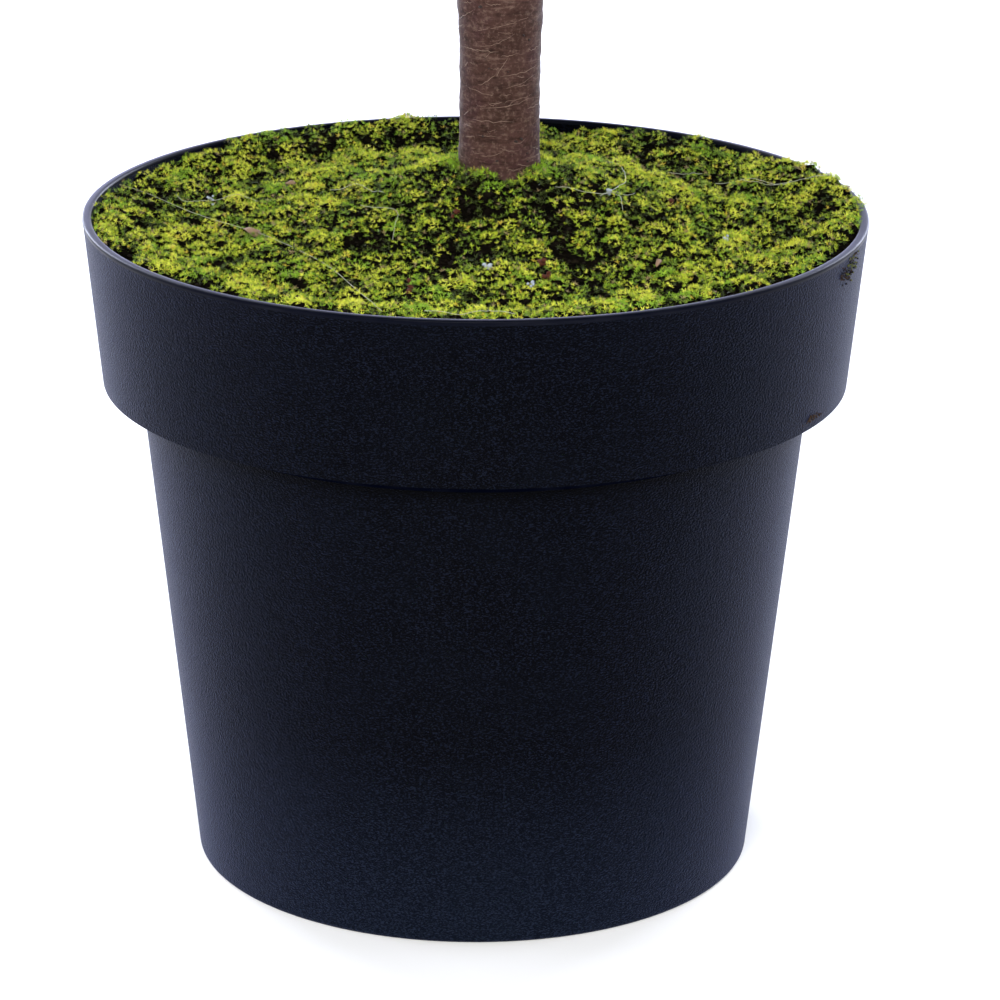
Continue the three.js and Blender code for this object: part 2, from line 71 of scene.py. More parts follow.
# Moss.
MOSS_LEVEL = 235 * MM
MOSS_RADIUS = 136 * MM
MOSS_UNDERSIDE = 226.3 * MM
MOSS_MOUND_RISE = 20 * MM
MOSS_MOUND_SPREAD = 52 * MM
MOSS_BUMP = 0.7 * MM
MOSS_BUMP_PITCH = 15 * MM
# Patches of better and worse growth: strength, pitch and an offset of their own.
GROWTH_PATCHES = [(0.75, 4.5 * MM, 3.1), (0.5, 8.5 * MM, 7.7), (0.14, 24 * MM, 5.2), (0.06, 60 * MM, 1.9)]
STEM_GROWTH = 0.25
TUFT_SPACING = 4.6 * MM
TUFT_RADIUS = 2.5 * MM
TUFT_RISE = 0.8
VIGOUR_SCATTER = 0.34
TUFT_SLANT = 0.8
SHOOTS_ON_TUFT = 12
# How much less ripe, and so darker, a tuft's outer shoots are: partly the moss's own colour, partly painted
# shade between the tufts.
TUFT_EDGE_PAINTED_SHADE = 0.6
MISSING_SHARE = 0.35
LEAST_VIGOUR = -0.7
MOSS_SHOOT_SIZE = 1.7 * MM
# Least and most of its usual size that a tuft, a shoot or a leaf has.
MOSS_UNEVENNESS = (0.75, 1.25)
# Whorls of leaves on a moss shoot, from its tip down: height, leaves, rise in radians and length.
MOSS_WHORLS = [(0.6, 3, 1.05, 0.6), (0.45, 6, 0.5, 0.8)]
LEAF_RISE_SCATTER, LEAF_TURN_SCATTER = 0.4, 0.25
MOSS_STARS = 6
BED_SIDES = 180
BED_RING_WIDTH = 2.1 * MM
BED_ROUGHNESS, BED_ROUGH_PITCH = 0.5 * MM, 2.6 * MM
# Depth of the moss's ground under the shoots' tops, and under the lip; where it climbs to the lip.
SHOOT_HEIGHT = 2.4 * MM
MOSS_BELOW_LIP = 3.2 * MM
CLIMB_START, CLIMB_END = 106 * MM, 132 * MM
# How much higher than that it is at the lip, in mm, by degrees round the pot from its right side.
MOSS_AT_RIM = [
    (0, 2.2), (8, 4.2), (24, 4.0), (32, 0.6), (46, -0.8), (52, 1.4), (62, 1.0), (70, -1.8), (84, -1.4),
    (92, 1.8), (104, 2.0), (120, 2.2), (134, 1.0), (148, -1.6), (160, -0.4), (180, 0.6), (225, 0.3),
    (270, 0), (315, 0.2), (342, 1.0),
]
# Where the moss grows out over the lip: degrees from the right side, half its width, its reach and its slope.
OVERHANG_TURN, OVERHANG_SPREAD, OVERHANG, OVERHANG_SLOPE = 15, 17, 5 * MM, 0.6
# Where the moss is thin and soil shows: x, y and radius in mm, and how much of its growth is missing.
THIN_MOSS = [
    (29, 14, 6, 1.1), (32, -30, 12, 0.2), (-2, -26, 13, 0.2), (10, -75, 60, 0.12), (47, -70, 11, 0.2),
    (67, 108, 16, 0.5), (-124, 28, 14, 0.5), (-34, -46, 12, 0.2),
]
# Where the moss is duller, in front of the stem: x, y and radius in mm, and how much less ripe it is.
DULL_MOSS = (10, -24, 30, 0.3)
# How far the moss climbs the stem, and the notch in front where it does not, in degrees from the right side.
STEM_MOSS_RISE, STEM_MOSS_SPREAD = 0.4 * MM, 5 * MM
NOTCH_TURN, NOTCH_WIDTH, NOTCH_DEPTH = -74, 11, 4.2 * MM
STEM_RING_TUFTS = 34

# Stem.
GROUND = 243 * MM
STEM_X = 8.2 * MM
STEM_Y = 10 * MM
STEM_TOP = 1405 * MM
STEM_FOOT_RADIUS = 14.1 * MM
STEM_TOP_RADIUS = 3.1 * MM
STEM_TAPER = 1.1
STEM_FLARE = 0.8 * MM
STEM_FLARE_HEIGHT = 9 * MM
STEM_SWAY = 4 * MM
STEM_SWAY_LENGTH = 1300 * MM
KNOT_RISE = 1.3 * MM
KNOT_SPREAD = 9 * MM
OLD_KNOT_HEIGHT = 340 * MM
OLD_KNOT_RISE = 2.4 * MM
OLD_KNOT_SPREAD = 34 * MM
STEM_SIDES = 24
# Relief of the bark in mm: how much everywhere, its plates and wrinkles in layers, and their flatness.
BARK_RELIEF = 0.4
BARK_LAYERS = [(0.35, 11 * MM, 2.7), (0.16, 3.2 * MM, 8.3)]
BARK_FLATNESS = 2.2
BARK_LINE_RADIUS = 0.12 * MM
BARK_LINES = 130
BARK_LINES_TOP = 1000 * MM
FOOT_WRINKLES = 90
FOOT_WRINKLES_TOP = 330 * MM
BARK_FLAKES = 60
BARK_FLAKES_TOP = 800 * MM
CLOSE_RINGS_TOP, CLOSE_RINGS, WIDE_RINGS = 335 * MM, 4 * MM, 13 * MM
GREENING_FROM, GREENING_TO = 750 * MM, 1300 * MM

# Tiers of boughs, counted from the lowest.
BOUGHS_IN_TIER = [6, 6, 6, 5, 5, 5, 5, 4]
TIERS = len(BOUGHS_IN_TIER)
FIRST_TIER_HEIGHT = 458 * MM
FIRST_TIER_SPACING = 152 * MM
TIER_SHRINK = 0.94
TIER_TURN = 0.27
LOW_REACH = 410 * MM
TOP_REACH = 138 * MM
REACH_CURVE = 1.15
LOW_RISE, TOP_RISE = 0.12, 0.98
LOW_SAG, TOP_SAG = 0.3, 0.42
BOUGH_LIFT = 0.14
LOW_LIMB_RADIUS = 4.4 * MM
TOP_LIMB_RADIUS = 2.3 * MM
LIMB_TIP_RADIUS = 1.2 * MM
TIERS_WITH_BARE_BOUGHS = 2
TURN_SCATTER = 0.07
REACH_SCATTER = 0.06
HEIGHT_SCATTER = 5 * MM
RISE_SCATTER = 0.05
BOUGH_SIDES, BOUGH_RINGS = 10, 46
BOUGH_COLLAR, BOUGH_COLLAR_FADE = 0.45, 5 * MM
BOUGH_TIP_FROM, BOUGH_TIP_THINNING = 0.9, 0.8
# Knobs of a bough's bark, in layers: strength, pitch and offset.
BOUGH_KNOBS = [(0.16, 3.5 * MM, 5.5), (0.1, 9 * MM, 1.1)]
SEED = 5.3

# Side shoots of the boughs, and the needles on them.
FIRST_SHOOT_SHARE = 0.2
LOW_SHOOT_STEP = 24 * MM
TOP_SHOOT_STEP = 19 * MM
SHOOTS_PER_STEP = 6.0
SHOOT_REACH_SHARE = 0.3
SHOOT_REACH_MORE = 20 * MM
SHOOT_FADE = 2.2
SHOOT_SCATTER = 0.24
SHOOT_ANGLE_LOW, SHOOT_ANGLE_TIP = 1.14, 0.76
LOW_SHOOT_DROOP, TOP_SHOOT_DROOP = 0.3, 0.05
SHOOT_SHORTEST = 14 * MM
SPACE_MARGIN_ANGLE = 0.105
SPRAY_WIDTH_SHARE = 0.13
SPRAY_WIDTH_MORE = 2 * MM
TIP_SPRAY_LENGTH = 36 * MM
TWIG_RADIUS = 1.3 * MM
# Rise and inward bow of a side shoot's middle, as shares of its length.
SHOOT_BOW_UP, SHOOT_BOW_IN = 0.035, 0.05
BOUGH_END = 0.985
NEEDLED_STRETCHES = [(0.2, 0.35), (0.35, 0.5), (0.5, 0.7), (0.7, BOUGH_END)]
NEEDLE_LENGTH = 12 * MM
NEEDLE_HALF_WIDTH = 0.9 * MM
NEEDLE_STEP = 0.54 * MM
NEEDLE_OPEN, NEEDLE_CLOSED = 0.9, 0.5
NEEDLE_TURN_SCATTER, NEEDLE_OPEN_SCATTER = 0.25, 0.09
# Shares of the usual needle: least and most length, length at a twig's foot and tip, width at the tip, curl.
NEEDLE_SHORTEST, NEEDLE_LONGEST = 0.82, 1.08
NEEDLE_AT_FOOT, NEEDLE_AT_TIP = 0.75, 0.7
NEEDLE_TIP_WIDTH = 0.75
NEEDLE_CURL = 0.16
# Share of a spray's needles, from its foot, that have its older green.
OLD_NEEDLES = 0.8
# The needles of a bough and of the young stem are set as on a twig so many times as thick.
BOUGH_NEEDLE_SPREAD, STEM_NEEDLE_SPREAD = 1.6, 1.9
GOLDEN_TURN = 2.39996

# Upright tip of the stem.
TIP_HEIGHT = 1500 * MM
TIP_SHOOTS = 8
TIP_SHOOT_FIRST, TIP_SHOOT_LAST = 0.12, 0.76
TIP_SHOOT_LONG = 62 * MM
TIP_SHOOT_SHORT = 30 * MM
TIP_SHOOT_RISE = 0.95
TIP_NEEDLE_SCALE = 0.85
NEEDLED_STEM_FROM, NEEDLED_STEM_STEP = 1090 * MM, 45 * MM

# Camera, as the photograph was taken.
CAMERA_PLACE = (0, -1606.7 * MM, 672.4 * MM)
CAMERA_LENS, CAMERA_SENSOR = 167.57, 36
CAMERA_PITCH = 18.625
CAMERA_YAW = 0.332
CAMERA_ROLL = 0.411

# Floor and light.
FLOOR_SIZE = 80
ROOM_LIGHT = 0.6
KEY_LIGHT = 3.4
KEY_SPREAD = 40
KEY_WAY = (0.08, 1, -0.56)
# Cool panels: place on the right in metres, what they aim at, their size and their power.
SIDE_PANEL = (2.3, 0.5, 1.0), (0, 0, 0.3), (1.5, 1.9), 28
RIM_PANEL = (1.5, 2.4, 1.0), (0, 0, 0.25), (1.3, 1.6), 92
LEFT_SHARE, RIGHT_SHARE = 1.1, 0.95
COOL_LIGHT = (0.77, 0.82, 1)
WARM_LIGHT = (1, 0.98, 0.94)

COLLAR_FOOT = POT_HEIGHT - COLLAR_HEIGHT
SHADE_FOOT = COLLAR_FOOT - SHADE_BAND
UP = np.array([0.0, 0.0, 1.0])
FULL_TURN = 2 * math.pi


# Small tools

def between(low, high, share):
    return low + (high - low) * share


def smooth_step(low, high, value):
    share = np.clip((value - low) / (high - low), 0, 1)
    return share * share * (3 - 2 * share)


def unit(vectors):
    return vectors / np.linalg.norm(vectors, axis=-1, keepdims=True)


def hump(distance, spread):
    """A smooth hump: 1 where there is no distance, near 0 at twice the spread."""
    return np.exp(-(distance / spread) ** 2)


def from_spot(points, x=0.0, y=0.0):
    return np.hypot(points[:, 0] - x, points[:, 1] - y)


def degrees_round(points, x=0.0, y=0.0):
    return np.degrees(np.arctan2(points[:, 1] - y, points[:, 0] - x))


def seeded(tier, bough, draw):
    """A number from 0 to 1 that is always the same for the same tier, bough and draw."""
    wave = math.sin(tier * 12.9898 + bough * 78.233 + draw * 37.719 + SEED) * 43758.5453
    return wave - math.floor(wave)


def noise_at(points, pitch, offset):
    """Smooth noise from about -1 to 1 at each point, with bumps of the given pitch."""
    shift = Vector((offset, 2 * offset, -offset))
    return np.array([noise.noise(Vector(p) / pitch + shift) for p in points])


def layered_noise(points, layers):
    """Noise in layers, each with its strength, its pitch and an offset of its own."""
    return sum(strength * noise_at(points, pitch, offset) for strength, pitch, offset in layers)


def deselect_all():
    if bpy.context.object and bpy.context.object.mode != "OBJECT":
        bpy.ops.object.mode_set(mode="OBJECT")
    bpy.ops.object.select_all(action="DESELECT")


def activate(piece):
    deselect_all()
    piece.select_set(True)
    bpy.context.view_layer.objects.active = piece


def edit_all(piece):
    activate(piece)
    bpy.ops.object.mode_set(mode="EDIT")
    bpy.ops.mesh.select_all(action="SELECT")


def end_edit():
    bpy.ops.object.mode_set(mode="OBJECT")


def corners_of(piece):
    places = np.empty(len(piece.data.vertices) * 3)
    piece.data.vertices.foreach_get("co", places)
    return places.reshape(-1, 3)


def move_corners(piece, places):
    piece.data.vertices.foreach_set("co", np.asarray(places, dtype=np.float32).ravel())
    piece.data.update()


def smooth(piece, degrees):
    activate(piece)
    bpy.ops.object.shade_smooth_by_angle(angle=math.radians(degrees))


def pick_corners(piece, wanted):
    """Selects, in edit mode, only the corners whose place is wanted."""
    edit_all(piece)
    bpy.ops.mesh.select_all(action="DESELECT")
    end_edit()
    for corner in piece.data.vertices:
        corner.select = wanted(corner.co)
    bpy.ops.object.mode_set(mode="EDIT")


def apply_modifier(piece, kind, **settings):
    activate(piece)
    modifier = piece.modifiers.new(kind.title(), kind)
    for key, value in settings.items():
        setattr(modifier, key, value)
    bpy.ops.object.modifier_apply(modifier=modifier.name)


def ring_tower(name, sides, rings):
    """Extrudes a circle through rings of (radius, centre), and closes both ends."""
    deselect_all()
    radius, centre = rings[0]
    bpy.ops.mesh.primitive_circle_add(vertices=sides, radius=radius, location=centre)
    piece = bpy.context.object
    piece.name = name
    bpy.ops.object.transform_apply(location=True, rotation=False, scale=False)
    edit_all(piece)
    for next_radius, next_centre in rings[1:]:
        step = [b - a for a, b in zip(centre, next_centre)]
        bpy.ops.mesh.extrude_region_move(TRANSFORM_OT_translate={"value": step})
        grow = next_radius / radius
        bpy.ops.transform.resize(value=(grow, grow, 1), center_override=next_centre)
        radius, centre = next_radius, next_centre
    bpy.ops.mesh.select_all(action="SELECT")
    bpy.ops.mesh.fill_holes(sides=0)
    bpy.ops.mesh.select_all(action="SELECT")
    bpy.ops.mesh.normals_make_consistent(inside=False)
    end_edit()
    return piece


def joined_mesh(name, places, triangles, materials, finish_of=None):
    """One piece from arrays of corners and triangles; finish_of gives each triangle's material."""
    mesh = bpy.data.meshes.new(name)
    mesh.vertices.add(len(places))
    mesh.vertices.foreach_set("co", np.asarray(places, dtype=np.float32).ravel())
    mesh.loops.add(3 * len(triangles))
    mesh.loops.foreach_set("vertex_index", np.asarray(triangles, dtype=np.int32).ravel())
    mesh.polygons.add(len(triangles))
    mesh.polygons.foreach_set("loop_start", np.arange(0, 3 * len(triangles), 3, dtype=np.int32))
    for material in materials:
        mesh.materials.append(material)
    if finish_of is not None:
        mesh.polygons.foreach_set("material_index", np.asarray(finish_of, dtype=np.int32))
    mesh.update(calc_edges=True)
    mesh.validate()
    piece = bpy.data.objects.new(name, mesh)
    bpy.context.scene.collection.objects.link(piece)
    return piece


def copies(pattern, places):
    """Many copies of a pattern (corners, triangles), given each copy's own corners."""
    _, triangles = pattern
    count, corners, _ = places.shape
    steps = np.arange(count)[:, None, None] * corners
    return places.reshape(-1, 3), (triangles[None] + steps).reshape(-1, 3)


def scattered(pattern, places, sizes, draws, lean=0.3, slant=0.0):
    """Copies of a pattern at the given places, each turned, leaned and sized in its own way."""
    count = len(places)
    turn = draws.uniform(0, FULL_TURN, count)
    tilt = draws.normal(0, lean, (count, 2)) + slant
    above = unit(np.column_stack([tilt, np.ones(count)]))
    heading = np.column_stack([np.cos(turn), np.sin(turn), np.zeros(count)])
    along = unit(heading - above * np.sum(heading * above, axis=1, keepdims=True))
    axes = np.stack([along, np.cross(above, along), above], axis=1)
    grown = np.einsum("kc,ncd->nkd", pattern[0], axes)
    return copies(pattern, grown * sizes[:, None, None] + places[:, None])


def join_parts(parts):
    """Corners and triangles of many parts as one."""
    corners, triangles, start = [], [], 0
    for part_corners, part_triangles in parts:
        corners.append(part_corners)
        triangles.append(part_triangles + start)
        start += len(part_corners)
    return np.concatenate(corners), np.concatenate(triangles)


def side_and_above(along):
    """Two ways square to each step of a line, for what stands round it."""
    level = np.array([1.0, 0.0, 0.0]) if abs(along[0, 2]) > 0.9 else UP
    side = unit(np.cross(level, along))
    return side, np.cross(along, side)


def run_of(points):
    """How far along a line each of its points is."""
    return np.concatenate([[0], np.cumsum(np.linalg.norm(np.diff(points, axis=0), axis=1))])


def read_along(at, run, values):
    """The values of a line's points, read at other distances along it."""
    return np.stack([np.interp(at, run, values[:, k]) for k in range(3)], axis=1)


def tube(points, radii, sides):
    """Corners and triangles of a closed tapering tube along a line of points."""
    points, radii = np.asarray(points), np.asarray(radii)
    side, above = side_and_above(unit(np.gradient(points, axis=0)))
    angle = np.arange(sides) / sides * FULL_TURN
    round_it = np.cos(angle)[None, :, None] * side[:, None] + np.sin(angle)[None, :, None] * above[:, None]
    corners = (points[:, None] + radii[:, None, None] * round_it).reshape(-1, 3)
    triangles = []
    for ring in range(len(points) - 1):
        for k in range(sides):
            a, b = ring * sides + k, ring * sides + (k + 1) % sides
            triangles += [(a, b, b + sides), (a, b + sides, a + sides)]
    last = (len(points) - 1) * sides
    for k in range(1, sides - 1):
        triangles += [(0, k + 1, k), (last, last + k, last + k + 1)]
    return corners, np.array(triangles)


def soft_line(points, count):
    """A smooth line of a given number of points through a few, by rounding its corners twice."""
    for _ in range(2):
        first = 0.75 * points[:-1] + 0.25 * points[1:]
        second = 0.25 * points[:-1] + 0.75 * points[1:]
        inner = np.stack([first, second], axis=1).reshape(-1, 3)
        points = np.concatenate([points[:1], inner, points[-1:]])
    run = run_of(points)
    return read_along(np.linspace(0, run[-1], count), run, points)


def pattern_from(piece):
    """The corners and triangles of a small modelled piece, which is then removed."""
    piece.data.calc_loop_triangles()
    triangles = np.array([t.vertices for t in piece.data.loop_triangles])
    pattern = corners_of(piece), triangles
    bpy.data.objects.remove(piece)
    return pattern


# Finishes

def new_material(name, colour, roughness, specular, sheen=()):
    """A material, its nodes and its shader; sheen is its weight, roughness and tint."""
    material = bpy.data.materials.new(name)
    material.use_nodes = True
    shader = material.node_tree.nodes["Principled BSDF"]
    shader.inputs["Base Color"].default_value = (*colour, 1)
    shader.inputs["Roughness"].default_value = roughness
    shader.inputs["Specular IOR Level"].default_value = specular
    for key, value in zip(("Sheen Weight", "Sheen Roughness", "Sheen Tint"), sheen):
        shader.inputs[key].default_value = value
    return material, material.node_tree, shader


def object_pattern(tree, kind, scale, stretch=(1, 1, 1), **settings):
    """A texture node on Object coordinates, stretched by a Mapping node."""
    place = tree.nodes.new("ShaderNodeTexCoord")
    mapping = tree.nodes.new("ShaderNodeMapping")
    mapping.inputs["Scale"].default_value = stretch
    texture = tree.nodes.new(kind)
    texture.inputs["Scale"].default_value = scale
    for key, value in settings.items():
        texture.inputs[key.title()].default_value = value
    tree.links.new(place.outputs["Object"], mapping.inputs["Vector"])
    tree.links.new(mapping.outputs["Vector"], texture.inputs["Vector"])
    return texture


def object_noise(tree, scale, stretch=(1, 1, 1), **settings):
    return object_pattern(tree, "ShaderNodeTexNoise", scale, stretch, **settings).outputs["Fac"]


def object_height(tree):
    place = tree.nodes.new("ShaderNodeTexCoord")
    parts = tree.nodes.new("ShaderNodeSeparateXYZ")
    tree.links.new(place.outputs["Object"], parts.inputs["Vector"])
    return parts.outputs["Z"]


def colour_ramp(tree, value, *stops):
    ramp = tree.nodes.new("ShaderNodeValToRGB")
    elements = ramp.color_ramp.elements
    while len(elements) < len(stops):
        elements.new(1)
    for element, (at, colour) in zip(elements, stops):
        element.position = at
        element.color = (*colour, 1)
    tree.links.new(value, ramp.inputs["Fac"])
    return ramp.outputs["Color"]


def mix_colours(tree, share, first, second, blend="MIX"):
    mix = tree.nodes.new("ShaderNodeMix")
    mix.data_type = "RGBA"
    mix.blend_type = blend
    tree.links.new(share, mix.inputs["Factor"])
    for socket, colour in ((mix.inputs["A"], first), (mix.inputs["B"], second)):
        if isinstance(colour, tuple):
            socket.default_value = (*colour, 1)
        else:
            tree.links.new(colour, socket)
    return mix.outputs["Result"]


def value_range(tree, value, low, high, to_low, to_high):
    ramp = tree.nodes.new("ShaderNodeMapRange")
    for key, number in (("From Min", low), ("From Max", high), ("To Min", to_low), ("To Max", to_high)):
        ramp.inputs[key].default_value = number
    tree.links.new(value, ramp.inputs["Value"])
    return ramp.outputs["Result"]


def tinted(tree, tone, value, low, high, strength, colour):
    """Mixes a colour into a tone as a value goes from low to high, up to a strength."""
    return mix_colours(tree, value_range(tree, value, low, high, 0, strength), tone, colour)


def add_bump(tree, shader, height, depth, strength=1.0):
    bump = tree.nodes.new("ShaderNodeBump")
    bump.inputs["Strength"].default_value = strength
    bump.inputs["Distance"].default_value = depth
    tree.links.new(height, bump.inputs["Height"])
    tree.links.new(bump.outputs["Normal"], shader.inputs["Normal"])


def pebbled_plastic():
    """Black moulded plastic: a fine pebbled grain with painted highlights on the pebble tops, a little dust,
    painted floor light at the foot and painted shade under the collar.
    """
    sheen = (0.1, 0.38, (0.36, 0.44, 1, 1))
    material, tree, shader = new_material("pot_pebbled_black", (0.0006, 0.0013, 0.006), 0.4, 0.022, sheen)
    pebbles = object_noise(tree, 1150, (1, 1, 1.8), detail=1.0)
    dust = object_noise(tree, 34, detail=2.0, roughness=0.62)
    height = object_height(tree)
    # Painted highlight: the pebble tops are coloured lighter than the hollows, standing in for light catching
    # the grain.
    grain = colour_ramp(tree, pebbles, (0.52, (0.0001, 0.0002, 0.0008)), (0.68, (0.0042, 0.006, 0.0125)))
    collar_tone = tinted(tree, grain, dust, 0.42, 0.78, 0.35, (0.0012, 0.002, 0.0042))
    # Painted floor light: a paler grain, added towards the foot, stands in for light bounced up from the
    # floor.
    floor_lit_grain = colour_ramp(tree, pebbles, (0.4, (0.0012, 0.0024, 0.0056)), (0.64, (0.005, 0.0076, 0.014)))
    floor_light_share = value_range(tree, height, FLOOR_LIGHT_TOP, 0, 0, 1)
    tone = mix_colours(tree, floor_light_share, collar_tone, floor_lit_grain, "ADD")
    # Painted shade: the body fades to black just under the collar, where the collar's shadow falls.
    tone = tinted(tree, tone, height, SHADE_FOOT - SHADE_FADE, SHADE_FOOT, 1, (0, 0, 0))
    # Above that the collar keeps its own tone, so the painted shade stays on the body.
    tone = tinted(tree, tone, height, COLLAR_FOOT - 2 * MM, COLLAR_FOOT - 1 * MM, 1, collar_tone)
    tree.links.new(tone, shader.inputs["Base Color"])
    add_bump(tree, shader, pebbles, 0.5 * MM)
    return material


def smooth_plastic(name, specular, sheen_weight):
    """The same plastic where it is smooth, with faint rubs round the pot."""
    sheen = (sheen_weight, 0.3, (0.65, 0.64, 0.86, 1))
    material, tree, shader = new_material(name, (0.001, 0.0016, 0.005), 0.35, specular, sheen)
    rubs = object_noise(tree, 70, (1, 1, 6), detail=3.0)
    tone = colour_ramp(tree, rubs, (0.42, (0.0008, 0.0014, 0.005)), (0.72, (0.0045, 0.0052, 0.0095)))
    tree.links.new(tone, shader.inputs["Base Color"])
    tree.links.new(value_range(tree, rubs, 0.3, 0.7, 0.3, 0.42), shader.inputs["Roughness"])
    return material


def compost():
    """Dark moist compost: crumbs, fibres and paler grains."""
    material, tree, shader = new_material("dark_compost", (0.008, 0.006, 0.0045), 0.95, 0.0)
    crumbs = object_pattern(tree, "ShaderNodeTexVoronoi", 420)
    blend = object_noise(tree, 260, detail=4.0, roughness=0.7)
    tone = colour_ramp(
        tree, blend,
        (0.35, (0.0022, 0.002, 0.0016)), (0.58, (0.0066, 0.0052, 0.0036)), (0.8, (0.024, 0.017, 0.011)),
    )
    tree.links.new(tone, shader.inputs["Base Color"])
    add_bump(tree, shader, crumbs.outputs["Distance"], 1.2 * MM, 0.9)
    return material


def papery_bark():
    """Purple-brown bark in thin papery layers, streaked round the stem, greener towards the top."""
    sheen = (0.5, 0.08, (0.86, 0.8, 0.9, 1))
    material, tree, shader = new_material("papery_bark", (0.05, 0.028, 0.022), 0.6, 0.05, sheen)
    patches = object_noise(tree, 60, (1, 1, 0.8), detail=4.0, roughness=0.6)
    streaks = object_noise(tree, 130, (1, 1, 4.5), detail=5.0, roughness=0.7)
    flecks = object_noise(tree, 640, detail=3.0, roughness=0.7)
    tone = colour_ramp(
        tree, patches,
        (0.3, (0.052, 0.0255, 0.0195)), (0.5, (0.074, 0.0365, 0.0295)), (0.66, (0.06, 0.0265, 0.027)),
    )
    tone = tinted(tree, tone, streaks, 0.47, 0.33, 0.7, (0.016, 0.0085, 0.006))
    tone = tinted(tree, tone, streaks, 0.56, 0.68, 0.85, (0.17, 0.106, 0.084))
    tone = tinted(tree, tone, flecks, 0.52, 0.72, 0.8, (0.17, 0.108, 0.085))
    tone = tinted(tree, tone, flecks, 0.46, 0.28, 0.6, (0.022, 0.012, 0.01))
    tone = tinted(tree, tone, object_height(tree), GREENING_FROM, GREENING_TO, 0.85, (0.085, 0.11, 0.03))
    tree.links.new(tone, shader.inputs["Base Color"])
    tree.links.new(value_range(tree, patches, 0.3, 0.7, 0.4, 0.6), shader.inputs["Roughness"])
    add_bump(tree, shader, streaks, 0.5 * MM, 0.6)
    return material


def bough_bark():
    """Young bark: brown at the stem, green-brown towards the tip, ridged by old needle roots."""
    material, tree, shader = new_material("bough_bark", (0.09, 0.065, 0.03), 0.62, 0.4)
    age = tree.nodes.new("ShaderNodeAttribute")
    age.attribute_name = "along"
    blotch = object_noise(tree, 180, detail=4.0)
    tone = colour_ramp(
        tree, age.outputs["Fac"],
        (0.0, (0.075, 0.05, 0.036)), (0.3, (0.1, 0.075, 0.035)), (0.75, (0.085, 0.12, 0.03)),
    )
    tone = tinted(tree, tone, blotch, 0.35, 0.7, 0.6, (0.045, 0.034, 0.02))
    tree.links.new(tone, shader.inputs["Base Color"])
    add_bump(tree, shader, blotch, 0.5 * MM, 0.6)
    return material


def plain_finish(name, colour, roughness, specular=0.4):
    """A leaf, chaff or thread in one plain colour, for pieces that are dealt out by colour."""
    return new_material(name, colour, roughness, specular)[0]


# Pot

def rounded(corners, steps=5):
    """A profile of (radius, height, rounding) corners, with each rounded one drawn as a curve."""
    points = []
    for index, (radius, height, rounding) in enumerate(corners):
        corner = np.array([radius, height])
        if not rounding:
            points.append(corner)
            continue
        before = np.array(corners[index - 1][:2]) - corner
        after = np.array(corners[index + 1][:2]) - corner
        start = corner + unit(before) * min(rounding, np.linalg.norm(before) / 2)
        end = corner + unit(after) * min(rounding, np.linalg.norm(after) / 2)
        for step in range(steps + 1):
            share = step / steps
            points.append((1 - share) ** 2 * start + 2 * share * (1 - share) * corner + share ** 2 * end)
    return points


